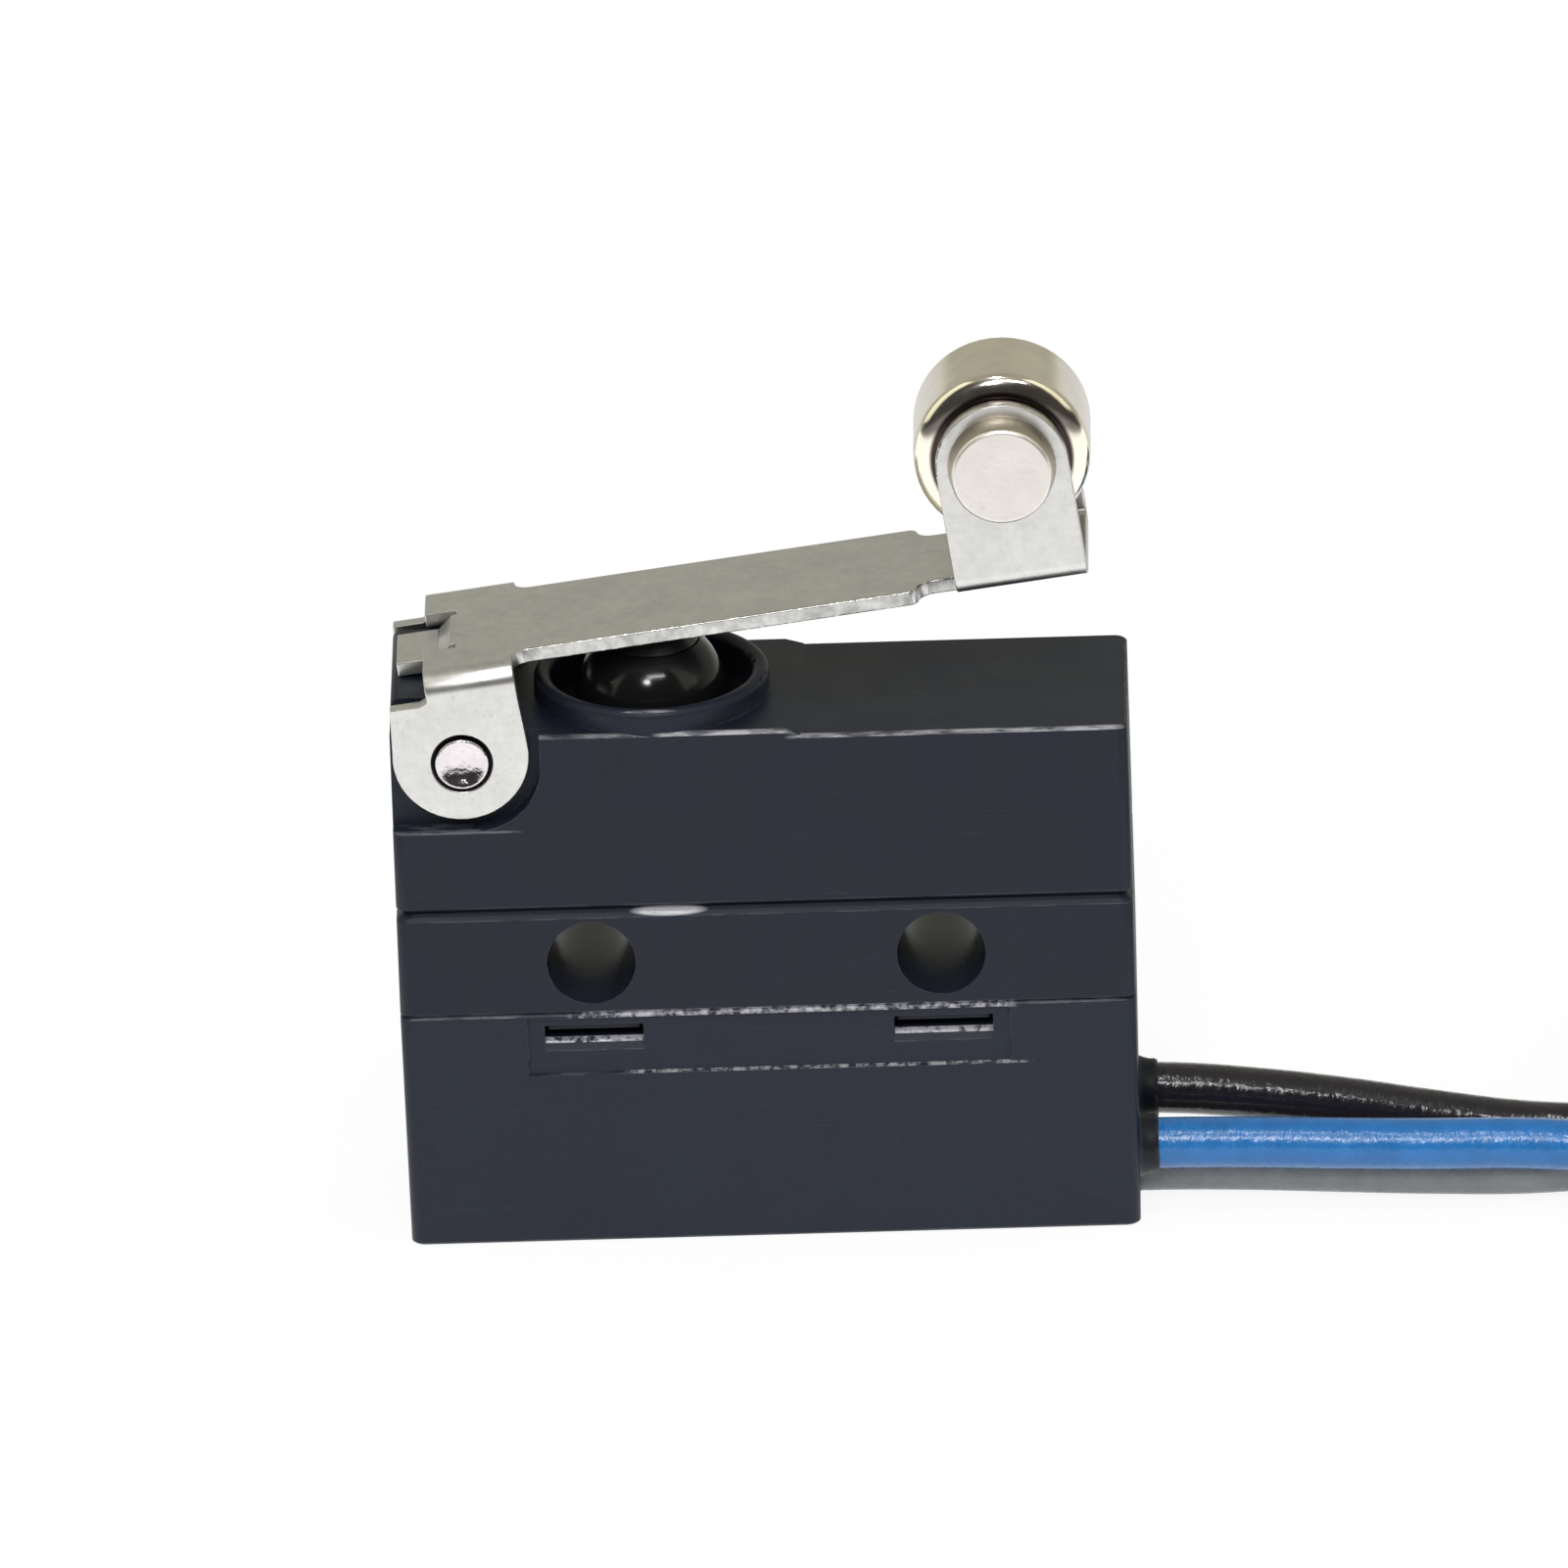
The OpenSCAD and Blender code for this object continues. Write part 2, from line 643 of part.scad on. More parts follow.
module rubber_boot() {
    neck_r = plunger_r + run_fit;
    foot_r = collar_in - run_fit;
    foot_h = 0.2;
    in_r = boot_r - boot_t;
    ball_z = boot_seat + boot_h - sqrt(boot_r * boot_r - neck_r * neck_r);
    high = acos(neck_r / boot_r);
    in_high = acos(neck_r / in_r);
    outside = [for (k = [0 : 8]) let (a = high * k / 8) [boot_r * cos(a), ball_z + boot_r * sin(a)]];
    inside = [for (k = [8 : -1 : 0]) let (a = in_high * k / 8) [in_r * cos(a), ball_z + in_r * sin(a)]];
    color(rubber_black) translate([plunger_x, 0, top_z - boot_seat + 0.01]) rotate_extrude()
        polygon(concat([[foot_r, 0], [foot_r, foot_h], [boot_r, foot_h]], outside, inside, [[in_r, 0]]));
}

module terminal_com() {
    color(brass) {
        translate([com_x - term_t / 2, -term_w / 2, leg_z])
            cube([term_t, term_w, blade_z - blade_t / 2 - leg_z]);
        translate([com_x - com_tail, -term_w / 2, blade_z - blade_t / 2 - term_t])
            cube([com_reach - com_x + com_tail, term_w, term_t]);
    }
}

module terminal_no() {
    color(brass) {
        translate([-term_t / 2, -term_w / 2, leg_z]) cube([term_t, term_w, no_arm_z + term_t - leg_z]);
        translate([-term_t / 2, -term_w / 2, no_arm_z]) cube([contact_x + 1 + term_t / 2, term_w, term_t]);
    }
}

module terminal_nc() {
    arm_z = nc_face + nc_t;
    color(brass) {
        translate([nc_x - term_t / 2, -term_w / 2, leg_z]) cube([term_t, term_w, arm_z + term_t - leg_z]);
        translate([contact_x - 1, -term_w / 2, arm_z])
            cube([nc_x - contact_x + 1 + term_t / 2, term_w, term_t]);
    }
}

// Contact button with a slightly domed face, its back at zero
module button(h) {
    rotate_extrude() polygon([
        [0, 0], [contact_d / 2, 0], [contact_d / 2, h - 0.1], [contact_d / 2 - 0.2, h - 0.02], [0, h]
    ]);
}

module contact_no() {
    back = no_arm_z + term_t;
    color(silver) translate([contact_x, 0, back]) button(no_face - back);
}

module contact_nc() {
    color(silver) translate([contact_x, 0, nc_face + nc_t]) mirror([0, 0, 1]) button(nc_t);
}

module snap_blade() {
    window_x = com_reach + window_gap;
    tongue_chord = window_end - window_x - tongue_gap;
    bow_r = (tongue_chord * tongue_chord / 4 + blade_bow * blade_bow) / (2 * blade_bow);
    mid_x = window_end - tongue_chord / 2;
    color(brass) {
        translate([0, 0, blade_z - blade_t / 2]) linear_extrude(blade_t) difference() {
            translate([com_x - com_tail, -blade_w / 2])
                square([contact_x + blade_end - com_x + com_tail, blade_w]);
            translate([window_x, -blade_w / 4]) square([window_end - window_x, blade_w / 2]);
            translate([contact_x, 0]) circle(d = rivet_shank_d + 2 * run_fit);
        }
        along_y(blade_w / 2 - tongue_inset) translate([mid_x, blade_z + bow_r - blade_bow]) intersection() {
            difference() {
                circle(r = bow_r + blade_t / 2, $fn = 240);
                circle(r = bow_r - blade_t / 2, $fn = 240);
            }
            translate([-tongue_chord / 2, -bow_r - 1]) square([tongue_chord + tongue_root, blade_bow + 1]);
        }
    }
}

module moving_contact() {
    color(silver) translate([contact_x, 0, 0]) {
        translate([0, 0, moving_low + head_t - 0.1])
            cylinder(d = rivet_shank_d, h = moving_top - moving_low - 2 * head_t + 0.2);
        translate([0, 0, moving_top - head_t]) button(head_t);
        translate([0, 0, moving_low + head_t]) mirror([0, 0, 1]) button(head_t);
    }
}

module potting_resin() {
    fill_l = body_l - 2 * (cap_wall + fit);
    fill_t = body_t - 2 * (cap_wall + fit);
    color(rubber_black) difference() {
        translate([-fill_l / 2, -fill_t / 2, cap_floor]) cube([fill_l, fill_t, plug_z - cap_floor]);
        terminal_legs(fit);
    }
}

module wire_black() {
    color([0.12, 0.11, 0.14]) tube(black_route, wire_d / 2);
}

module wire_blue() {
    color([0.23, 0.45, 0.68]) tube(blue_route, wire_d / 2);
}

module wire_grey() {
    color([0.44, 0.46, 0.46]) tube(grey_route, wire_d / 2);
}

// Outline with round ends, a turn of radius r in plan
module turn_outline(r) {
    hull() for (side = [-1, 1])
        translate([hank_x + side * hank_run / 2, hank_y]) circle(r = r, $fn = 32);
}

module wire_hank() {
    color([0.44, 0.46, 0.46]) translate([0, 0, hank_low]) difference() {
        for (i = [0 : 2])
            linear_extrude(ring_h(i)) turn_outline(turn_r(i) + wire_d / 2 + 0.02);
        translate([0, 0, -1]) linear_extrude(ring_h(2) + 2) turn_outline(inner_turn_r - wire_d / 2 - 0.02);
    }
}

// Convex outline round the turns of one run, in Y and Z, widened by a margin
module run_outline(grow) {
    offset(r = grow, $fn = 32) hull() for (i = [0, 2])
        translate([turn_r(i) - wire_d / 2 - 0.02, hank_low]) square([wire_d + 0.04, ring_h(i)]);
}

module hank_ties() {
    color([0.15, 0.15, 0.16]) for (side = [0, 1])
        translate([hank_x - tie_w / 2, hank_y, 0]) mirror([0, side, 0]) along_x(tie_w) difference() {
            run_outline(fit + tie_t);
            run_outline(fit);
        }
}

// Stripped ends of the leads, each where its last turn stops
module bare_ends() {
    far_x = hank_x + hank_run / 2;
    near_x = hank_x - hank_run / 2;
    starts = [[near_x + last_run[0], -1], [far_x - last_run[1], 1], [far_x - last_run[2], 1]];
    color(silver) for (i = [0 : 2])
        translate([starts[i][0], hank_y + starts[i][1] * turn_r(i), hank_low + ring_h(i) - wire_d / 2])
            rotate([0, -90 * starts[i][1], 0]) cylinder(d = bare_d, h = bare_l, $fn = 24);
}

bottom_cap();
base();
upper_case();
lever_pin();
lever();
roller();
roller_pin();
plunger();
rubber_boot();
terminal_com();
terminal_no();
terminal_nc();
contact_no();
contact_nc();
snap_blade();
moving_contact();
potting_resin();
wire_black();
wire_blue();
wire_grey();
wire_hank();
hank_ties();
bare_ends();
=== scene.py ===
import math

import bmesh
import bpy
from bpy.props import FloatProperty, FloatVectorProperty, PointerProperty
from mathutils import Matrix, Vector


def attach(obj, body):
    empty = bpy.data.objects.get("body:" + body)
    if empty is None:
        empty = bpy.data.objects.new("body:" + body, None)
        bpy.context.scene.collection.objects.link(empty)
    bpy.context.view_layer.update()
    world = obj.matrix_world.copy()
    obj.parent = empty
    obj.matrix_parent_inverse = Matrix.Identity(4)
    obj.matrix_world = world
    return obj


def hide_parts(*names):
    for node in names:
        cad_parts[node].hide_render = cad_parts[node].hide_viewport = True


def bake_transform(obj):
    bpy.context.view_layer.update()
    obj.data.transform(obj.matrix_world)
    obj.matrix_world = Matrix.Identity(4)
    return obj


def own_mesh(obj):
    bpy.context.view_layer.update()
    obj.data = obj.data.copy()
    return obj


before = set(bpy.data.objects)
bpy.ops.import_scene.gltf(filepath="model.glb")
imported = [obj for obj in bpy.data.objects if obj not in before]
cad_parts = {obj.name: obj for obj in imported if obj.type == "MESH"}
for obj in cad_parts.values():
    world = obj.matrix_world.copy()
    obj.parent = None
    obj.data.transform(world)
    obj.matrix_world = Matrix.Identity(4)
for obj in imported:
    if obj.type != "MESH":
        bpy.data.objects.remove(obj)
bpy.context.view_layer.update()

bl_info = {
    "name": "Roller lever switch",
    "version": (1, 0, 0),
    "blender": (4, 5, 0),
    "location": "View3D > Sidebar > Switch",
    "description": "Finishes the pieces of a sealed snap switch with a roller lever and three leads",
    "category": "Add Mesh",
}

MM = 0.001
# Corners nearer than this are merged, in metres, and faces that turn less than this are one, in degrees
MERGE = 1e-6
FLAT_ANGLE = 0.5

# Places and sizes repeated from the part's source, in millimetres, and the lever's free angle in degrees
PIVOT = (-8.05, 0.0, 14.25)
ROLLER_AXIS = (6.8227, 0.0, 22.1009)
CONTACTS = (6.4, 0.0, 12.0)
FREE_ANGLE = 7.4
PLUNGER_X = -2.9
HOLE_X = 4.75
HOLE_Z = 8.3
LEAD_D = 1.4
HANK_X = 38.3
HANK_Y = 4.4
HANK_RUN = 12.0
TURN_RISE = 1.5
FIRST_TURN_Z = 1.05
BARE_D = 0.8
BARE_L = 5.0

# Room between two lengths of the snap blade, where the rails end, and the spacing of the cuts that let it bend
BLADE_ROOM = 0.01
BLADE_SPLIT = 3.6
BLADE_STEP = 0.2
# The snap blade's lengths along X, each with its first and last X, the bodies that it bends between and where
# that bend starts and ends. The rails come back to the moving contact's travel where the tail begins.
BLADE_LENGTHS = (
    ("blade_seat", -9.0, PLUNGER_X - BLADE_ROOM, ("housing", "plunger_pin"), (-5.0, -3.3)),
    ("blade_rails", PLUNGER_X, BLADE_SPLIT - BLADE_ROOM, ("plunger_pin", "housing"), (PLUNGER_X, 10.58)),
    ("blade_tail", BLADE_SPLIT, 8.0, ("contact_carrier",), ()),
)

# Lines on the body's front, rubbed smoother and with a painted highlight: lowest and highest Z, first and last X,
# strength
SPECKLED_LINES = (
    (6.66, 6.85, -5.1, 6.4, 0.9),
    (4.99, 5.04, -3.6, 6.8, 0.75),
)
STREAKED_LINES = (
    (14.94, 15.01, -5.9, -3.9, 0.4),
    (14.93, 15.01, -2.5, 0.6, 0.9),
    (14.77, 14.84, 1.1, 9.6, 0.8),
    (12.22, 12.27, -9.9, -6.8, 0.25),
    (15.60, 15.70, -3.6, -2.5, 0.5),
)
# How far a rubbed line fades out across and along
LINE_FADE = 0.015
LINE_END_FADE = 0.4
# Over these Y the rubbed lines of the front face, with their painted highlight, end
FRONT_Y = (-3.06, -3.0)
# Lit strip of the sloped sills, and its fade
SILL_Z = (5.85, 6.0)
SILL_FADE = 0.02
# Glint in the groove over the band: middle in X and Z, half sizes, and the Y over which it ends
GLINT_AT = (-2.6, 9.75)
GLINT_HALF = (1.1, 0.13)
GLINT_Y = (-2.85, -2.75)
# Over these X the end face passes into the darker collars of the leads
COLLAR_X = (10.02, 10.06)
# Depth over which the bores of the mounting holes slope, and how strongly the bump does so
BORE_Y = (-3.2, 1.2)
BORE_SLOPE = -70.0
# Faces of the mouldings that get a mark: its name and value, limits of Z, least distance from the middle plane,
# limits of the normal's rise, and whether the back has it too
POLISHED = {
    "bottom_cap": (
        ("edge", 1.0, (6.7, 7.0), 3.0, (0.2, 0.98), True),
        ("edge", 0.8, (4.9, 5.1), 3.0, (0.2, 1.1), True),
        ("sill", 1.0, (5.6, 6.05), 2.7, (0.5, 0.9), False),
    ),
    "base": (),
    "upper_case": (
        ("edge", 1.0, (14.6, 15.1), 3.1, (0.4, 0.95), True),
        ("edge", 0.8, (12.1, 12.4), 3.0, (0.2, 1.1), True),
    ),
}
# Reach of the holes' bores round their axes and from the middle plane
BORE_ROOM = 1.25
BORE_REACH = 3.15
# The lever's plain arm along X, its half width, and where its cut sides lie
ARM_X = (-6.2, 5.2)
ARM_HALF = 2.25
CUT_Y = (1.5, 2.2)
# Strength of the burnished edges and their painted highlight dots off the arm
OFF_ARM = 0.2
# Radius of the painted shade on the roller's side, and one past the whole rivet, with the width over which they end
SIDE_SHADE_R = 2.0
RIVET_R = 9.0
SIDE_FADE = 0.1

# Leads: route from the cap to the hank, radius of the turns, the X and side (-1 in front, 1 behind) where the lead
# ends, whole turns, and roughness
LEADS = {
    "blue": {
        "route": [
            (9.2, -2, 1.95), (10.8, -2, 1.95), (13, -2.1, 1.94), (15.5, -2.28, 1.91), (18, -2.42, 1.88),
            (20.5, -2.47, 1.84), (23, -2.55, 1.65), (25.5, -2.65, 1.4), (28, -2.7, 1.2), (30.2, -2.7, 1.08),
        ],
        "radius": 7.1,
        "last": (35.7, -1),
        "turns": 4,
        "gloss": 0.25,
    },
    "grey": {
        "route": [
            (9.2, -1, 0.86), (10.8, -1, 0.86), (13, -1.1, 0.83), (15.5, -1.3, 0.78), (18, -1.5, 0.74),
            (20.5, -1.65, 0.74), (23, -1.5, 0.8), (25.5, -1.3, 0.92), (28, -1.25, 1.02),
        ],
        "radius": 5.65,
        "last": (34.8, 1),
        "turns": 4,
        "gloss": 0.40,
    },
    "black": {
        "route": [
            (9.2, 0.5, 2.5), (10.8, 0.5, 2.48), (13, 0.53, 2.25), (15.5, 0.6, 1.85), (18, 0.75, 1.32),
            (20.5, 0.8, 0.9), (23, 0.6, 0.84), (25.5, 0.35, 0.92), (27.2, 0.2, 1),
        ],
        "radius": 4.2,
        "last": (44.3, 1),
        "turns": 5,
        "gloss": 0.18,
    },
}
# Points of the hank along a straight run and round a bend, and the least distance of a point from a lead's end
RUN_STEPS = 4
BEND_STEPS = 8
END_ROOM = 0.6
# Strands round the middle one, the steps along each and the twist over a bare end in degrees
OUTER_STRANDS = 6
STRAND_STEPS = 24
STRAND_TWIST = 200

WHITE = (1.0, 1.0, 1.0)
CREAM = (1.0, 0.98, 0.78)
# Lamps: setting of the power, name, azimuth and elevation in degrees, distance and size in metres, colour
LAMPS = (
    ("front", "Front lamp", -8, 40, 0.75, (0.10, 0.08), WHITE),
    ("strip", "Strip lamp", 10, 48, 0.75, (0.32, 0.03), WHITE),
    ("top", "Top lamp", -6, 69, 0.75, (0.09, 0.07), WHITE),
    ("left", "Left box", -75, 35, 0.70, (0.40, 0.70), CREAM),
    ("right", "Right box", 68, 40, 0.70, (0.35, 0.60), CREAM),
)
LAMP_AIM_Z = 12.0
CAMERA_AIM_Z = 10.0
# How far the camera's aim is moved to the side and up, across its view
CAMERA_SHIFT = (0.519, 1.891)
FLOOR_SIZE = 8.0
FLOOR_DROP = 0.02
# Share of the floor that glows white to the camera and in reflections
FLOOR_GLOW = 0.90
# Dark end of the room in front of the object
DARK_ROOM = (0.05, 0.045, 0.045)


def colour_setting(name, description, default):
    """A colour for the panel"""
    return FloatVectorProperty(
        name=name, description=description, subtype="COLOR", default=default, min=0.0, max=1.0,
    )


def edge_setting(description, default, least, most):
    """An edge radius for the panel, given in millimetres"""
    return FloatProperty(
        name="Edge radius", description=description, unit="LENGTH",
        default=default * MM, min=least * MM, max=most * MM, precision=6,
    )


def angle_setting(name, description, degrees):
    """An angle for the panel"""
    return FloatProperty(name=name, description=description, subtype="ANGLE", default=math.radians(degrees))


def power_setting(name, description, watts):
    """A lamp's power for the panel"""
    return FloatProperty(name=name, description=description, subtype="POWER", default=watts, min=0.0)


class SwitchBodyLook(bpy.types.PropertyGroup):
    """Finish of the moulded body"""

    colour: colour_setting("Moulding", "Colour of the moulded plastic", (0.0085, 0.0115, 0.021))
    # Also the colour of the painted highlights on the front's lines, sills and groove glint
    wear_and_highlight: colour_setting("Rubbed edge", "Colour of the plastic where its edges are rubbed", (0.36, 0.355, 0.385))
    edge: edge_setting("Rounding of the moulded edges", 0.02, 0.005, 0.05)


class SwitchMetalLook(bpy.types.PropertyGroup):
    """Finish of the lever, roller and pins"""

    sheet: colour_setting("Sheet steel", "Colour of the lever", (0.62, 0.615, 0.595))
    roller: colour_setting("Roller", "Colour of the plated roller", (0.78, 0.73, 0.62))
    rivet: colour_setting("Rivet", "Colour of the rivet's heads", (0.76, 0.73, 0.685))
    pin: colour_setting("Pivot pin", "Colour of the pivot pin", (0.62, 0.585, 0.60))
    edge: edge_setting("Rounding of the cut edges", 0.04, 0.01, 0.1)


class SwitchLeadLook(bpy.types.PropertyGroup):
    """Length and colours of the leads"""

    blue: colour_setting("Blue lead", "Colour of the blue insulation", (0.010, 0.125, 0.36))
    grey: colour_setting("Grey lead", "Colour of the grey insulation", (0.165, 0.178, 0.185))
    black: colour_setting("Black lead", "Colour of the black insulation", (0.012, 0.010, 0.014))
    length: FloatProperty(
        name="Length", description="Length of each lead outside the body", unit="LENGTH",
        default=0.3, min=0.1, max=1.0,
    )


class SwitchStageLook(bpy.types.PropertyGroup):
    """Camera and light"""

    azimuth: angle_setting("Azimuth", "Camera's turn round the object", 1.15)
    elevation: angle_setting("Elevation", "Camera's height above the horizon", 23.41)
    roll: angle_setting("Roll", "Camera's turn about its own axis", 2.08)
    distance: FloatProperty(
        name="Distance", description="Camera to object", unit="LENGTH", default=1.0, min=0.2,
    )
    lens: FloatProperty(name="Lens", description="Focal length in millimetres", default=844.1, min=50.0)
    front: power_setting("Front lamp", "Power of the small front lamp", 1.3)
    strip: power_setting("Strip lamp", "Power of the thin lamp over the front", 1.2)
    top: power_setting("Top lamp", "Power of the small top lamp", 0.72)
    left: power_setting("Left box", "Power of the left soft box", 0.90)
    right: power_setting("Right box", "Power of the right soft box", 0.66)
    ambient: FloatProperty(
        name="Ambient", description="Strength of the soft light all round", default=0.6, min=0.0,
    )


# Pieces

def deselect():
    """Leaves nothing selected"""
    bpy.ops.object.select_all(action="DESELECT")


def take(piece):
    """Selects one piece alone"""
    deselect()
    piece.select_set(True)
    bpy.context.view_layer.objects.active = piece


def linked(name, data):
    """An object in the scene with the given data"""
    made = bpy.data.objects.new(name, data)
    bpy.context.scene.collection.objects.link(made)
    return made


def copy_of(node, name, merge=MERGE):
    """Copies a solid's mesh into a piece of its own, with its loose triangles merged into whole faces"""
    piece = linked(name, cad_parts[node].data.copy())
    piece.data.materials.clear()
    take(piece)
    bpy.ops.mesh.customdata_custom_splitnormals_clear()
    bpy.ops.object.mode_set(mode="EDIT")
    bpy.ops.mesh.select_all(action="SELECT")
    bpy.ops.mesh.remove_doubles(threshold=merge)
    bpy.ops.mesh.dissolve_limited(angle_limit=math.radians(FLAT_ANGLE))
    bpy.ops.object.mode_set(mode="OBJECT")
    return piece


def length_of(node, name, low, high, step):
    """Copies a solid between two X into a piece of its own, with closed ends and cuts across to let it bend"""
    solid = bmesh.new()
    solid.from_mesh(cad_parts[node].data)
    bmesh.ops.remove_doubles(solid, verts=solid.verts, dist=MERGE)
    for k in range(math.ceil((high - low) / step) + 1):
        x = min(low + k * step, high)
        bmesh.ops.bisect_plane(
            solid, geom=solid.verts[:] + solid.edges[:] + solid.faces[:], dist=1e-8, plane_co=(x * MM, 0, 0),
            plane_no=(1, 0, 0), clear_inner=x == low, clear_outer=x == high,
        )
    bmesh.ops.holes_fill(solid, edges=[edge for edge in solid.edges if edge.is_boundary])
    made = bpy.data.meshes.new(name)
    solid.to_mesh(made)
    solid.free()
    return linked(name, made)


def round_edges(piece, width, segments=2, angle=28.0, share=1.0):
    """Rounds the sharp edges of a piece and marks the rounded faces in the attribute named edge"""
    take(piece)
    # The bevel gives its faces the second of two empty slots, which tells them apart
    piece.data.materials.append(None)
    piece.data.materials.append(None)
    bevel = piece.modifiers.new("Rounded edges", "BEVEL")
    bevel.width = width
    bevel.segments = segments
    bevel.limit_method = "ANGLE"
    bevel.angle_limit = math.radians(angle)
    bevel.use_clamp_overlap = False
    bevel.miter_outer = "MITER_ARC"
    bevel.material = 1
    bpy.ops.object.modifier_apply(modifier=bevel.name)
    mark = piece.data.attributes.new("edge", "FLOAT", "FACE")
    for polygon in piece.data.polygons:
        mark.data[polygon.index].value = share if polygon.material_index == 1 else 0.0
        polygon.material_index = 0
    piece.data.materials.clear()


def mark_faces(piece, name, value, test):
    """Gives a face attribute a value on the faces whose centre in millimetres and normal pass a test"""
    mark = piece.data.attributes.get(name) or piece.data.attributes.new(name, "FLOAT", "FACE")
    for polygon in piece.data.polygons:
        if test(polygon.center / MM, polygon.normal):
            mark.data[polygon.index].value = value


def smooth(piece, angle=32.0):
    """Shades a piece smooth up to an angle, its flat faces kept flat"""
    take(piece)
    bpy.ops.object.shade_smooth_by_angle(angle=math.radians(angle))
    weighted = piece.modifiers.new("Flat faces", "WEIGHTED_NORMAL")
    weighted.keep_sharp = True
    bpy.ops.object.modifier_apply(modifier=weighted.name)


def finish_piece(piece, finish, body, slot, *nodes):
    """Gives a piece its material, its body unless it bends, and hides the solids that it stands for. The slot
    argument is not used.
    """
    piece.data.materials.clear()
    piece.data.materials.append(finish)
    if body:
        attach(piece, body)
    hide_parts(*nodes)
    deselect()


# Shader nodes

def put(tree, kind, values=None, **settings):
    """Adds a node with its settings and socket values"""
    made = tree.nodes.new(kind)
    for key, value in settings.items():
        setattr(made, key, value)
    for key, value in (values or {}).items():
        made.inputs[key].default_value = value
    return made


def join(tree, *pairs):
    """Links sockets, given in pairs"""
    for source, target in zip(pairs[0::2], pairs[1::2]):
        tree.links.new(source, target)


def arrange(tree, width=220, height=190):
    """Sets the nodes of a tree out in columns, each to the left of all that it feeds"""
    column = {node.name: 0 for node in tree.nodes}
    moved = True
    while moved:
        moved = False
        for link in tree.links:
            least = column[link.to_node.name] + 1
            if column[link.from_node.name] < least:
                column[link.from_node.name] = least
                moved = True
    filled = {}
    for node in tree.nodes:
        at = column[node.name]
        node.location = (-width * at, -height * filled.get(at, 0))
        filled[at] = filled.get(at, 0) + 1


def math_node(tree, operation, a, b=None):
    """Adds a Math node and returns its output"""
    made = put(tree, "ShaderNodeMath", operation=operation)
    for socket, value in zip(made.inputs, (a, b)):
        if isinstance(value, (int, float)):
            socket.default_value = value
        elif value is not None:
            tree.links.new(value, socket)
    return made.outputs[0]


def fold(tree, operation, values):
    """Combines values or sockets one after another"""
    made = values[0]
    for value in values[1:]:
        made = math_node(tree, operation, made, value)
    return made


def product(tree, *values):
    """Multiplies values or sockets together"""
    return fold(tree, "MULTIPLY", values)


def total(tree, *values):
    """Adds values or sockets together"""
    return fold(tree, "ADD", values)


def largest(tree, *values):
    """The largest of several values or sockets"""
    return fold(tree, "MAXIMUM", values)


def less(tree, a, b):
    """One value or socket less another"""
    return math_node(tree, "SUBTRACT", a, b)


def ramp(tree, value, low, high, to_low=0.0, to_high=1.0):
    """Maps a value from one range to another, clamped"""
    made = put(
        tree, "ShaderNodeMapRange",
        {"From Min": low, "From Max": high, "To Min": to_low, "To Max": to_high}, clamp=True,
    )
    join(tree, value, made.inputs["Value"])
    return made.outputs["Result"]


def vary(tree, value, to_low, to_high):
    """Maps the middle of a noise's range to another range"""
    return ramp(tree, value, 0.3, 0.7, to_low, to_high)


def fall(tree, value, low, high):
    """1 below a range of a value, falling to 0 over it"""
    return ramp(tree, value, low, high, 1.0, 0.0)


def between(tree, value, low, high, soft):
    """1 where a value lies between two limits, fading to 0 over a soft margin outside them"""
    return product(tree, ramp(tree, value, low - soft, low), fall(tree, value, high, high + soft))


def mix_colour(tree, factor, a, b):
    """Adds a colour Mix node and returns its output"""
    made = put(tree, "ShaderNodeMix", data_type="RGBA")
    # Sockets 0, 6 and 7 are the factor and the two colours, and output 2 is the mixed one
    join(tree, factor, made.inputs[0])
    for socket, value in ((made.inputs[6], a), (made.inputs[7], b)):
        if isinstance(value, tuple):
            socket.default_value = (*value, 1.0)
        else:
            tree.links.new(value, socket)
    return made.outputs[2]


def scaled(tree, colour, factor):
    """A colour times a factor"""
    made = put(tree, "ShaderNodeVectorMath", operation="SCALE")
    join(tree, colour, made.inputs[0], factor, made.inputs["Scale"])
    return made.outputs[0]


def split(tree, vector):
    """The X, Y and Z of a vector"""
    made = put(tree, "ShaderNodeSeparateXYZ")
    join(tree, vector, made.inputs["Vector"])
    return made.outputs["X"], made.outputs["Y"], made.outputs["Z"]


def about_y(tree, vector):
    """A vector's distance from the Y axis, and its Y"""
    x, y, z = split(tree, vector)
    return math_node(tree, "SQRT", total(tree, product(tree, x, x), product(tree, z, z))), y


def face_mark(tree, name):
    """A face attribute of the piece"""
    return put(tree, "ShaderNodeAttribute", attribute_name=name).outputs["Fac"]


def millimetres(tree, stretch=(1.0, 1.0, 1.0), turn=(0.0, 0.0, 0.0), centre=(0.0, 0.0, 0.0)):
    """Object coordinates in millimetres from a centre, turned and stretched"""
    where = put(tree, "ShaderNodeTexCoord")
    placed = put(
        tree, "ShaderNodeMapping",
        {"Scale": [s / MM for s in stretch], "Rotation": turn, "Location": [-c for c in centre]},
        vector_type="POINT",
    )
    join(tree, where.outputs["Object"], placed.inputs["Vector"])
    return placed.outputs["Vector"]


def noise(tree, vector, scale, detail=2.0, rough=0.5):
    """Noise from 0 to 1 over a vector"""
    made = put(tree, "ShaderNodeTexNoise", {"Scale": scale, "Detail": detail, "Roughness": rough})
    join(tree, vector, made.inputs["Vector"])
    return made.outputs["Fac"]


# Node groups, each of which puts out a colour, a roughness and a height

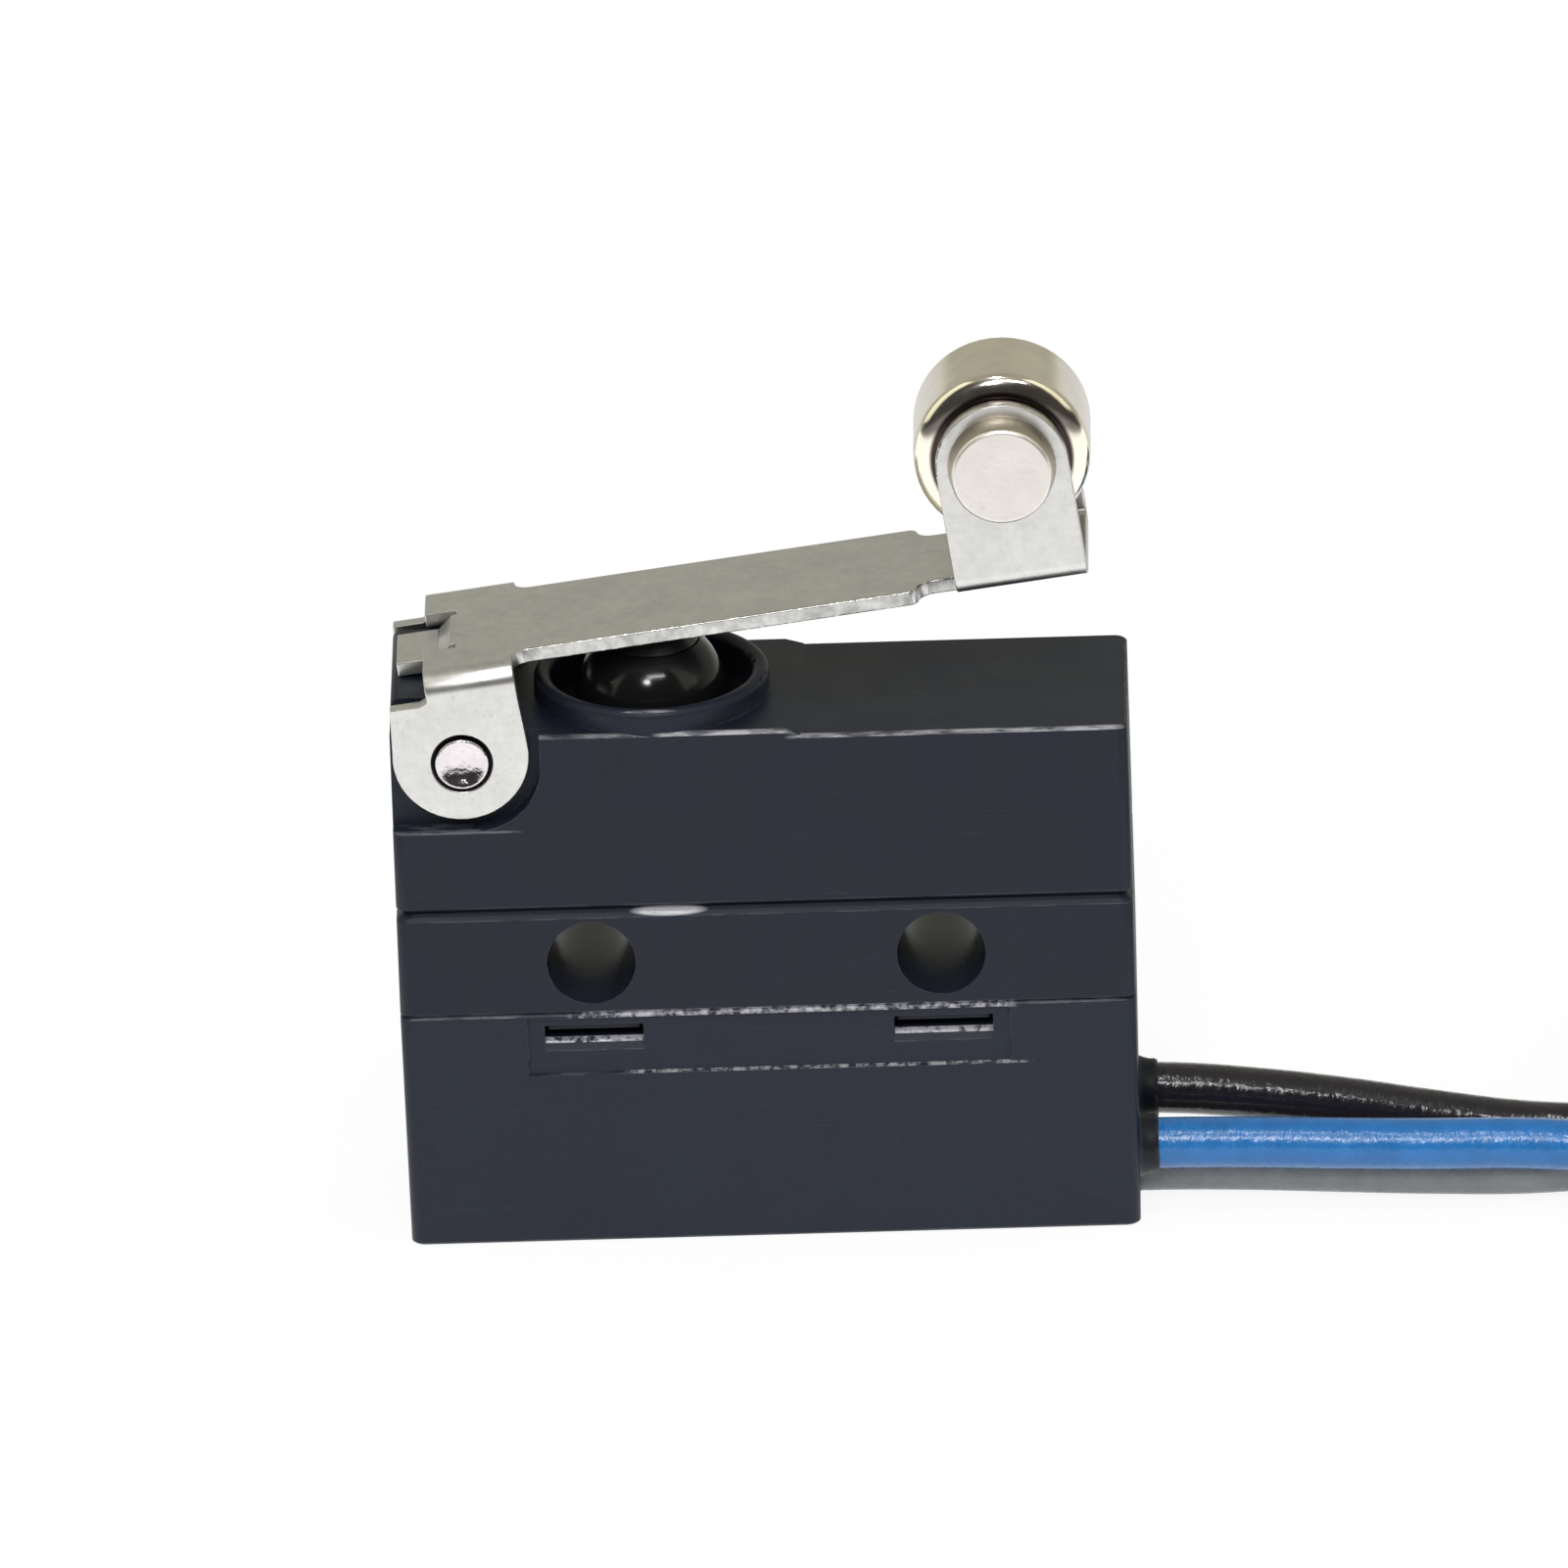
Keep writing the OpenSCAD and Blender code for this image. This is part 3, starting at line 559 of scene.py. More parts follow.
def new_group(name, inputs):
    """Starts a node group with its inputs: values, vectors of three numbers and colours of four"""
    group = bpy.data.node_groups.new(name, "ShaderNodeTree")
    for socket, value in inputs.items():
        size = len(value) if isinstance(value, tuple) else 1
        kind = {1: "NodeSocketFloat", 3: "NodeSocketVector", 4: "NodeSocketColor"}[size]
        group.interface.new_socket(socket, in_out="INPUT", socket_type=kind).default_value = value
    for socket, kind in (("Colour", "Color"), ("Roughness", "Float"), ("Height", "Float")):
        group.interface.new_socket(socket, in_out="OUTPUT", socket_type="NodeSocket" + kind)
    return group, put(group, "NodeGroupInput").outputs


def end_group(group, colour, roughness, height):
    """Links what a group puts out and sets its nodes out"""
    end = put(group, "NodeGroupOutput").inputs
    join(group, colour, end["Colour"], roughness, end["Roughness"], height, end["Height"])
    arrange(group)
    return group


def build_moulded_skin():
    """Moulded plastic: mottling, grain, a few scuffs, rubbed lines and edges with painted highlights, painted lit
    sills, a painted glint and smooth bores
    """
    group, given = new_group("Moulded skin", {
        "Colour": (0.02, 0.02, 0.02, 1), "Rubbed": (0.2, 0.2, 0.2, 1), "Gloss": 0.42, "Rub": 1.0,
    })
    base = millimetres(group)
    x, y, z = split(group, base)
    cloud = noise(group, base, 0.55, 4.0, 0.6)
    grain = noise(group, base, 16.0, 2.0, 0.6)
    speckle = noise(group, base, 4.5, 3.0, 0.6)
    streak = noise(group, millimetres(group, (0.22, 0.22, 5.0), (0.0, 0.22, 0.0)), 1.7, 3.0, 0.65)
    broken = noise(group, millimetres(group, (0.45, 2.0, 2.0)), 1.9, 3.0, 0.65)
    edge, sill, bore = [face_mark(group, name) for name in ("edge", "sill", "bore")]

    # Lines of the front, rubbed smoother and with a painted highlight, in spots or in streaks
    speckled, streaked = [
        largest(group, *[
            product(group, between(group, z, low, high, LINE_FADE), between(group, x, first, last, LINE_END_FADE),
                    strength)
            for low, high, first, last, strength in lines
        ])
        for lines in (SPECKLED_LINES, STREAKED_LINES)
    ]
    spots = product(group, speckled, ramp(group, speckle, 0.42, 0.60))
    streaks = product(group, streaked, ramp(group, broken, 0.40, 0.58, 0.15, 1.0))
    rubbed_lit_lines = product(group, fall(group, y, *FRONT_Y), largest(group, spots, streaks))

    # Rubbed edges with painted highlight dashes, painted lit sills, the painted glint in the groove and faint scuffs
    dashes = ramp(group, broken, 0.44, 0.56)
    rub = product(group, edge, dashes, given["Rub"])
    lit_sill = product(group, sill, between(group, z, *SILL_Z, SILL_FADE), ramp(group, speckle, 0.36, 0.52))
    off = [
        ramp(group, math_node(group, "ABSOLUTE", less(group, place, middle)), 0.0, half)
        for place, middle, half in zip((x, z), GLINT_AT, GLINT_HALF)
    ]
    off_centre = total(group, *[product(group, part, part) for part in off])
    glint = product(group, fall(group, off_centre, 0.45, 1.0), fall(group, y, *GLINT_Y))
    scuff = ramp(group, streak, 0.68, 0.80, 0.0, 0.05)

    tone = product(group, vary(group, cloud, 0.88, 1.13), vary(group, grain, 0.86, 1.14),
                   ramp(group, x, *COLLAR_X, 1.0, 0.4))
    # Mixes the rubbed colour in for real scuffs and worn edges, and as painted highlight on the lit lines, sills and
    # glint
    wear_and_highlight = largest(group, rub, scuff, rubbed_lit_lines, product(group, lit_sill, 0.8), glint)
    colour = mix_colour(group, wear_and_highlight, scaled(group, given["Colour"], tone), given["Rubbed"])
    matt = total(group, given["Gloss"], vary(group, cloud, -0.04, 0.05))
    polish = product(group, edge, ramp(group, dashes, 0.0, 1.0, 0.12, 0.34))
    shares = ((rubbed_lit_lines, 0.32), (lit_sill, 0.36), (glint, 0.38), (bore, 0.18))
    shine = largest(group, polish, *[product(group, mark, share) for mark, share in shares])
    depth = fall(group, y, *BORE_Y)
    height = total(group, grain, product(group, broken, 0.7), product(group, bore, depth, depth, BORE_SLOPE))
    return end_group(group, colour, less(group, matt, shine), height)


def build_rolled_sheet():
    """Rolled sheet metal: lines along the strip, soft clouding, specks, burnished edges with painted highlight and
    shade dots, and rough cut sides
    """
    group, given = new_group("Rolled sheet", {"Colour": (0.6, 0.6, 0.55, 1), "Gloss": 0.34})
    along = millimetres(group, (0.35, 9.0, 9.0), (0.0, math.radians(FREE_ANGLE), 0.0))
    base = millimetres(group)
    lines = noise(group, along, 1.0, 4.0, 0.6)
    cloud = noise(group, base, 0.9, 3.0, 0.6)
    speck = noise(group, base, 7.0, 2.0, 0.55)
    mottle = noise(group, base, 3.2, 3.0, 0.6)
    patch = noise(group, base, 0.4, 2.0, 0.5)
    edge, cut = [face_mark(group, name) for name in ("edge", "cut")]
    tone = product(group, vary(group, lines, 0.975, 1.02), vary(group, cloud, 0.93, 1.06),
                   vary(group, mottle, 0.94, 1.06), ramp(group, speck, 0.62, 0.76, 1.0, 0.86))
    dark = total(group, ramp(group, patch, 0.4, 0.6, 0.28, 0.0), ramp(group, mottle, 0.4, 0.6, 0.16, 0.0))
    tone = less(group, tone, product(group, cut, dark))
    # Painted highlight and shade dots along the rounded edges
    tone = total(group, tone, product(group, edge, ramp(group, speck, 0.52, 0.64, -0.5, 0.4)))
    matt = total(group, given["Gloss"], vary(group, cloud, -0.025, 0.03))
    rough = less(group, matt, product(group, edge, 0.12))
    height = total(group, product(group, lines, 0.25), product(group, speck, 0.8), product(group, cut, mottle, 3.0))
    return end_group(group, scaled(group, given["Colour"], tone), rough, height)


def build_turned_metal():
    """Turned metal: fine rings about the axis of the vector, with clouding and small dents"""
    group, given = new_group("Turned metal", {
        "Vector": (0, 0, 0), "Colour": (0.7, 0.7, 0.7, 1), "Gloss": 0.15, "Dents": 0.3,
    })
    radius, along = about_y(group, given["Vector"])
    place = put(group, "ShaderNodeCombineXYZ")
    join(group, radius, place.inputs["X"], along, place.inputs["Y"])
    rings = noise(group, place.outputs["Vector"], 11.0, 3.0, 0.7)
    cloud = noise(group, given["Vector"], 1.1, 3.0, 0.6)
    dent = noise(group, given["Vector"], 4.5, 3.0, 0.6)
    tone = product(group, vary(group, cloud, 0.90, 1.07), ramp(group, dent, 0.60, 0.74, 1.0, 0.86))
    rough = total(group, given["Gloss"], vary(group, cloud, -0.03, 0.05))
    height = total(group, product(group, rings, 0.5), product(group, dent, given["Dents"]))
    return end_group(group, scaled(group, given["Colour"], tone), rough, height)


def build_insulation():
    """Extruded insulation: faint lumps, patchy gloss and a slightly crinkled surface"""
    group, given = new_group("Drawn insulation", {"Colour": (0.1, 0.1, 0.1, 1), "Gloss": 0.3})
    base = millimetres(group)
    lump = noise(group, base, 1.5, 3.0, 0.6)
    fine = noise(group, base, 6.5, 3.0, 0.65)
    crinkle = noise(group, millimetres(group, (5.0, 2.5, 2.5)), 1.0)
    rough = total(group, given["Gloss"], vary(group, fine, -0.07, 0.10))
    height = total(group, product(group, lump, 0.4), product(group, fine, 0.12), product(group, crinkle, 0.5))
    return end_group(group, scaled(group, given["Colour"], vary(group, lump, 0.88, 1.12)), rough, height)


BUILDERS = {
    "Moulded skin": build_moulded_skin,
    "Rolled sheet": build_rolled_sheet,
    "Turned metal": build_turned_metal,
    "Drawn insulation": build_insulation,
}


# Materials

def new_material(name, fixed):
    """A material with fixed values on its shader, with its node tree and that shader"""
    made = bpy.data.materials.new(name)
    made.use_nodes = True
    shader = made.node_tree.nodes["Principled BSDF"]
    for key, value in fixed.items():
        shader.inputs[key].default_value = value
    return made, made.node_tree, shader


def material(name, group, values, bump, depth, fixed, centre=None):
    """A material whose colour, roughness and bump come from a node group, built when it is first wanted"""
    made, tree, shader = new_material(name, fixed)
    skin = put(tree, "ShaderNodeGroup", node_tree=bpy.data.node_groups.get(group) or BUILDERS[group]())
    for key, value in values.items():
        skin.inputs[key].default_value = (*value, 1.0) if isinstance(value, tuple) else value
    if centre:
        join(tree, millimetres(tree, centre=centre), skin.inputs["Vector"])
    rough = put(tree, "ShaderNodeBump", {"Strength": bump, "Distance": depth * MM})
    join(tree, skin.outputs["Height"], rough.inputs["Height"], rough.outputs["Normal"], shader.inputs["Normal"],
         skin.outputs["Colour"], shader.inputs["Base Color"], skin.outputs["Roughness"], shader.inputs["Roughness"])
    made.diffuse_color = (*values["Colour"], 1.0)
    arrange(tree)
    return made


def moulded(name, colour, rubbed, gloss, rub, bump, depth, specular):
    """A plastic, rubber or resin"""
    values = {"Colour": colour, "Rubbed": rubbed, "Gloss": gloss, "Rub": rub}
    return material(name, "Moulded skin", values, bump, depth, {"Specular IOR Level": specular})


def rolled(name, colour, gloss, bump, depth):
    """A sheet metal"""
    return material(name, "Rolled sheet", {"Colour": colour, "Gloss": gloss}, bump, depth, {"Metallic": 1.0})


def turned(name, colour, gloss, dents, bump, depth, centre):
    """A turned metal, with its axis along Y through a centre"""
    values = {"Colour": colour, "Gloss": gloss, "Dents": dents}
    return material(name, "Turned metal", values, bump, depth, {"Metallic": 1.0}, centre)


# Leads

def turn_points(radius, side_last, last_x, turns):
    """Points of a lead's turns in the hank, from the front run round to where the lead ends"""
    half_run = HANK_RUN / 2
    half_lap = HANK_RUN + math.pi * radius
    flat = []
    for half in range(2 * turns + 2):
        # Half a lap is a straight run, in front or behind, and the bend after it
        side, begun = (1 if half % 2 else -1), half * half_lap
        for step in range(RUN_STEPS + 1):
            along = HANK_RUN * step / RUN_STEPS
            flat.append((HANK_X + side * (half_run - along), HANK_Y + side * radius, begun + along))
        for step in range(1, BEND_STEPS):
            bend = math.pi * step / BEND_STEPS
            flat.append((
                HANK_X - side * (half_run + radius * math.sin(bend)), HANK_Y + side * radius * math.cos(bend),
                begun + HANK_RUN + radius * bend,
            ))
    whole_halves = 2 * turns + (side_last > 0)
    end = whole_halves * half_lap + half_run - side_last * (last_x - HANK_X)
    kept = [point for point in flat if point[2] < end - END_ROOM]
    kept.append((last_x, HANK_Y + side_last * radius, end))
    return [(x, y, FIRST_TURN_Z + TURN_RISE * way / (2 * half_lap)) for x, y, way in kept]


def round_curve(name, diameter, sides):
    """A round curve with closed ends and no points yet"""
    curve = bpy.data.curves.new(name, "CURVE")
    curve.dimensions = "3D"
    curve.bevel_depth = diameter / 2 * MM
    curve.bevel_resolution = sides
    curve.use_fill_caps = True
    return linked(name, curve)


def lead_curve(name, points):
    """A lead along smooth points, as a curve of one spline"""
    piece = round_curve(name, LEAD_D, 6)
    piece.data.resolution_u = 5
    spline = piece.data.splines.new("BEZIER")
    spline.bezier_points.add(len(points) - 1)
    for knot, point in zip(spline.bezier_points, points):
        knot.co = [c * MM for c in point]
        knot.handle_left_type = "AUTO"
        knot.handle_right_type = "AUTO"
    return piece


def strands(name, start, heading):
    """Twisted strands of a stripped end, six round one"""
    strand_d = BARE_D / 3
    pieces = []
    for k in range(OUTER_STRANDS + 1):
        piece = round_curve(name, strand_d, 2)
        spline = piece.data.splines.new("POLY")
        spline.points.add(STRAND_STEPS)
        out = strand_d if k < OUTER_STRANDS else 0.0
        for i, point in enumerate(spline.points):
            t = i / STRAND_STEPS
            a = math.radians(360 / OUTER_STRANDS * k + STRAND_TWIST * t)
            place = (start[0] + heading * BARE_L * t, start[1] + out * math.cos(a), start[2] + out * math.sin(a))
            point.co = [c * MM for c in place] + [1.0]
        pieces.append(piece)
    deselect()
    for piece in pieces:
        piece.select_set(True)
    bpy.context.view_layer.objects.active = pieces[0]
    bpy.ops.object.convert(target="MESH")
    bpy.ops.object.join()
    joined = bpy.context.view_layer.objects.active
    joined.name = name
    bpy.ops.object.shade_smooth_by_angle(angle=math.radians(40))
    return joined


class SWITCH_OT_leads(bpy.types.Operator):
    """Lays the three leads, wound into their hank, with stripped ends and ties"""

    bl_idname = "switch.leads"
    bl_label = "Leads"

    def execute(self, context):
        look = context.scene.switch_leads
        tinned = turned("Tinned strand", (0.72, 0.70, 0.66), gloss=0.28, dents=0.5, bump=0.25, depth=0.02,
                        centre=(HANK_X, HANK_Y, 5.0))
        band = moulded("Tie band", (0.02, 0.02, 0.022), (0.08, 0.08, 0.08), gloss=0.5, rub=0.6, bump=0.3,
                       depth=0.02, specular=0.4)
        ties = copy_of("hank_ties", "ties")
        round_edges(ties, 0.06 * MM, angle=40)
        smooth(ties, 40)
        finish_piece(ties, band, "housing", "tie", "hank_ties")
        for name, lead in LEADS.items():
            last_x, side = lead["last"]
            points = lead["route"] + turn_points(lead["radius"], side, last_x, lead["turns"])
            cord = lead_curve("lead_" + name, points)
            skin = material(
                name.capitalize() + " insulation", "Drawn insulation",
                {"Colour": tuple(getattr(look, name)), "Gloss": lead["gloss"]},
                bump=0.8, depth=0.07, fixed={"Specular IOR Level": 0.5},
            )
            bare = strands("bare_end_" + name, points[-1], -side)
            finish_piece(bare, tinned, "housing", "silver", "bare_ends")
            finish_piece(cord, skin, "housing", name + "_lead", "wire_" + name, "wire_hank")
        return {"FINISHED"}


class SWITCH_OT_body(bpy.types.Operator):
    """Finishes the cap, the band with the mounting holes and the upper case"""

    bl_idname = "switch.body"
    bl_label = "Body"

    def execute(self, context):
        look = context.scene.switch_body
        cap, housing = [
            moulded(name, tuple(tone * c for c in look.colour), tuple(look.wear_and_highlight), gloss=0.46, rub=0.15, bump=0.30,
                    depth=0.012, specular=0.24)
            for name, tone in (("Cap black", 1.2), ("Housing black", 0.95))
        ]
        for node, skin in (("bottom_cap", cap), ("base", housing), ("upper_case", housing)):
            piece = copy_of(node, node + "_moulding", merge=0.015 * MM)
            round_edges(piece, look.edge, share=0.4)
            self.polish(piece, node)
            smooth(piece)
            finish_piece(piece, skin, "housing", "moulding", node)
        return {"FINISHED"}

    def polish(self, piece, node):
        """Marks the edges that handling has polished, which also get painted highlight dashes, the window sills and
        the bores of the holes
        """
        for name, value, (low, high), out, (least, most), both in POLISHED[node]:
            mark_faces(piece, name, value, lambda at, way: (
                low < at.z < high and (abs(at.y) if both else -at.y) > out and least < way.z < most))
        if node == "base":
            mark_faces(piece, "bore", 1.0, lambda at, way: (
                abs(way.y) < 0.1 and abs(at.y) < BORE_REACH
                and abs(at.z - HOLE_Z) < BORE_ROOM and abs(abs(at.x) - HOLE_X) < BORE_ROOM))


class SWITCH_OT_lever(bpy.types.Operator):
    """Finishes the folded lever"""

    bl_idname = "switch.lever"
    bl_label = "Lever"

    def execute(self, context):
        look = context.scene.switch_metal
        steel = rolled("Rolled steel", tuple(look.sheet), gloss=0.34, bump=0.25, depth=0.012)
        piece = copy_of("lever", "lever_sheet", merge=0.004 * MM)
        round_edges(piece, look.edge, segments=3)
        sharp = piece.data.attributes["edge"].data
        for polygon in piece.data.polygons:
            at = polygon.center / MM
            if abs(at.y) > ARM_HALF or not ARM_X[0] < at.x < ARM_X[1]:
                sharp[polygon.index].value *= OFF_ARM
        mark_faces(piece, "cut", 1.0, lambda at, way: (
            abs(way.y) > 0.9 and at.x < ARM_X[1] and CUT_Y[0] < abs(at.y) < CUT_Y[1]))
        smooth(piece)
        finish_piece(piece, steel, "lever_arm", "sheet_steel", "lever")
        return {"FINISHED"}


class SWITCH_OT_roller(bpy.types.Operator):
    """Finishes the roller and its rivet"""

    bl_idname = "switch.roller"
    bl_label = "Roller"

    def execute(self, context):
        look = context.scene.switch_metal
        plated = turned("Plated roller", tuple(look.roller), gloss=0.13, dents=0.15, bump=0.12, depth=0.01,
                        centre=ROLLER_AXIS)
        # Painted shade on the roller's flat sides round the cheeks
        self.darken_sides(plated, (0.045, 0.032, 0.03), 1.0, SIDE_SHADE_R)
        roller = copy_of("roller", "roller_tyre")
        mark_faces(roller, "side", 1.0, lambda at, way: abs(way.y) > 0.97)
        smooth(roller)
        finish_piece(roller, plated, "roller_wheel", "roller", "roller")
        peened = turned("Peened rivet", tuple(look.rivet), gloss=0.40, dents=0.9, bump=0.25, depth=0.02,
                        centre=ROLLER_AXIS)
        self.darken_sides(peened, (0.40, 0.34, 0.24), 0.75, RIVET_R)
        rivet = copy_of("roller_pin", "roller_rivet")
        round_edges(rivet, 0.03 * MM)
        mark_faces(rivet, "side", 1.0, lambda at, way: abs(way.y) < 0.55)
        smooth(rivet)
        finish_piece(rivet, peened, "lever_arm", "bright_steel", "roller_pin")
        return {"FINISHED"}

    def darken_sides(self, finish, colour, share, reach):
        """Darkens the faces marked as sides, out to a radius in millimetres: a painted shade on the roller, a brown
        tone on the rivet's rim
        """
        tree = finish.node_tree
        base = tree.nodes["Principled BSDF"].inputs["Base Color"]
        plain = base.links[0].from_socket
        radius, _ = about_y(tree, millimetres(tree, centre=ROLLER_AXIS))
        mask = product(tree, face_mark(tree, "side"), ramp(tree, radius, reach - SIDE_FADE, reach, share, 0.0))
        join(tree, mix_colour(tree, mask, plain, colour), base)
        arrange(tree)


class SWITCH_OT_pivot(bpy.types.Operator):
    """Finishes the lever's pivot pin"""

    bl_idname = "switch.pivot"
    bl_label = "Pivot pin"

    def execute(self, context):
        look = context.scene.switch_metal
        polished = turned("Polished pin", tuple(look.pin), gloss=0.12, dents=1.6, bump=0.5, depth=0.03, centre=PIVOT)
        pin = copy_of("lever_pin", "pivot_pin")
        smooth(pin)
        finish_piece(pin, polished, "housing", "bright_steel", "lever_pin")
        return {"FINISHED"}


class SWITCH_OT_plunger(bpy.types.Operator):
    """Finishes the plunger and its rubber boot"""

    bl_idname = "switch.plunger"
    bl_label = "Plunger"

    def execute(self, context):
        glossy = moulded("Glossy plunger", (0.006, 0.006, 0.007), (0.03, 0.03, 0.03), gloss=0.12, rub=0.0, bump=0.06,
                         depth=0.01, specular=0.55)
        plunger = copy_of("plunger", "plunger_pin")
        smooth(plunger)
        finish_piece(plunger, glossy, "plunger_pin", "plunger", "plunger")
        rubber = moulded("Boot rubber", (0.006, 0.006, 0.0065), (0.03, 0.03, 0.03), gloss=0.13, rub=0.0, bump=0.08,
                         depth=0.01, specular=0.3)
        boot = copy_of("rubber_boot", "boot")
        smooth(boot, 50)
        finish_piece(boot, rubber, "housing", "rubber", "rubber_boot")
        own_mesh(boot)
        return {"FINISHED"}


class SWITCH_OT_contacts(bpy.types.Operator):
    """Gives the pieces inside the body their metals and resin"""

    bl_idname = "switch.contacts"
    bl_label = "Contacts"

    def execute(self, context):
        brass = rolled("Terminal brass", (0.66, 0.50, 0.22), gloss=0.30, bump=0.2, depth=0.01)
        copper = rolled("Blade copper", (0.70, 0.40, 0.24), gloss=0.26, bump=0.2, depth=0.01)
        silver = turned("Contact silver", (0.80, 0.79, 0.77), gloss=0.22, dents=0.4, bump=0.2, depth=0.01,
                        centre=CONTACTS)
        resin = moulded("Potting resin", (0.012, 0.012, 0.012), (0.05, 0.05, 0.05), gloss=0.2, rub=0.0, bump=0.1,
                        depth=0.02, specular=0.5)
        finishes = {
            "terminal_com": brass, "terminal_no": brass, "terminal_nc": brass,
            "contact_no": silver, "contact_nc": silver, "moving_contact": silver, "potting_resin": resin,
        }
        for node, finish in finishes.items():
            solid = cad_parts[node]
            solid.data.materials.clear()
            solid.data.materials.append(finish)
        for name, low, high, bodies, bend in BLADE_LENGTHS:
            piece = length_of("snap_blade", name, low, high, BLADE_STEP)
            smooth(piece)
            finish_piece(piece, copper, None if bend else bodies[0], "spring_copper", "snap_blade")
            if bend:
                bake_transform(piece)
        return {"FINISHED"}


def direction(azimuth, elevation):
    """The way from the object to a place at an azimuth from the front and an elevation, in radians"""
    flat = math.cos(elevation)
    return Vector((math.sin(azimuth) * flat, -math.cos(azimuth) * flat, math.sin(elevation)))


class SWITCH_OT_stage(bpy.types.Operator):
    """Sets the floor, the light and the camera"""

    bl_idname = "switch.stage"
    bl_label = "Stage"

    def execute(self, context):
        look = context.scene.switch_stage
        self.floor()
        self.world(context, look)
        for setting, *lamp in LAMPS:
            self.lamp(getattr(look, setting), *lamp)
        self.camera(context, look)
        context.scene.view_settings.view_transform = "Standard"
        return {"FINISHED"}

    def floor(self):
        """A pale floor with the object's shadow, white to the camera, and in reflections dark far in front"""
        deselect()
        bpy.ops.mesh.primitive_plane_add(size=FLOOR_SIZE, location=(0, 0, -FLOOR_DROP * MM))
        plane = bpy.context.object
        plane.name = "floor"
        made, tree, shader = new_material("Pale floor", {
            "Base Color": (0.95, 0.95, 0.95, 1), "Roughness": 0.9, "Specular IOR Level": 0.0,
        })
        path = put(tree, "ShaderNodeLightPath").outputs
        glossy = path["Is Glossy Ray"]
        seen = largest(tree, path["Is Camera Ray"], glossy, path["Is Transmission Ray"])
        _, y, _ = split(tree, put(tree, "ShaderNodeTexCoord").outputs["Object"])
        mirrored = product(tree, ramp(tree, y, -0.01, 0.04, 1.5, 0.75), ramp(tree, y, -0.115, -0.085, 0.06, 1.0))
        strength = total(tree, product(tree, less(tree, mirrored, 1.0), glossy), 1.0)
        glow = put(tree, "ShaderNodeEmission", {"Color": (*WHITE, 1)})
        blend = put(tree, "ShaderNodeMixShader")
        join(tree, strength, glow.inputs["Strength"], product(tree, seen, FLOOR_GLOW), blend.inputs["Fac"],
             shader.outputs["BSDF"], blend.inputs[1], glow.outputs["Emission"], blend.inputs[2],
             blend.outputs["Shader"], tree.nodes["Material Output"].inputs["Surface"])
        arrange(tree)
        plane.data.materials.append(made)
        deselect()

    def world(self, context, look):
        """White behind the object, and in reflections a room that is dark in front and olive behind"""
        world = bpy.data.worlds.new("Studio")
        context.scene.world = world
        world.use_nodes = True
        world.cycles.sampling_method = "NONE"
        tree = world.node_tree
        soft = tree.nodes["Background"]
        soft.inputs["Color"].default_value = (0.97, 0.98, 1.0, 1)
        soft.inputs["Strength"].default_value = look.ambient
        _, y, z = split(tree, put(tree, "ShaderNodeTexCoord").outputs["Generated"])
        rise = ramp(tree, z, 0.02, 0.14)
        ceiling = ramp(tree, z, 0.70, 0.88)
        depth = ramp(tree, y, -0.35, 0.15)
        rear = mix_colour(tree, ceiling, (0.49, 0.48, 0.41), (0.42, 0.41, 0.355))
        front = mix_colour(tree, ceiling, DARK_ROOM, (0.40, 0.395, 0.36))
        walls = mix_colour(tree, depth, front, rear)
        horizon = mix_colour(tree, depth, DARK_ROOM, (0.75, 0.745, 0.70))
        room = mix_colour(tree, rise, horizon, walls)
        mirror = put(tree, "ShaderNodeBackground")
        white = put(tree, "ShaderNodeBackground", {"Color": (*WHITE, 1), "Strength": 1.0})
        path = put(tree, "ShaderNodeLightPath").outputs
        mirrored = largest(tree, path["Is Glossy Ray"], path["Is Transmission Ray"])
        first = put(tree, "ShaderNodeMixShader")
        second = put(tree, "ShaderNodeMixShader")
        join(tree, room, mirror.inputs["Color"], mirrored, first.inputs["Fac"],
             soft.outputs["Background"], first.inputs[1], mirror.outputs["Background"], first.inputs[2],
             path["Is Camera Ray"], second.inputs["Fac"],
             first.outputs["Shader"], second.inputs[1], white.outputs["Background"], second.inputs[2],
             second.outputs["Shader"], tree.nodes["World Output"].inputs["Surface"])
        arrange(tree)

    def lamp(self, power, name, azimuth, elevation, distance, size, colour):
        """A rectangular lamp that looks at the object, placed by its angles from the front"""
        data = bpy.data.lights.new(name, "AREA")
        data.shape = "RECTANGLE"
        data.size, data.size_y = size
        data.energy = power
        data.color = colour
        lamp = linked(name, data)
        lamp.location = distance * direction(math.radians(azimuth), math.radians(elevation))
        aim = Vector((0, 0, LAMP_AIM_Z * MM)) - lamp.location
        lamp.rotation_euler = aim.to_track_quat("-Z", "Y").to_euler()

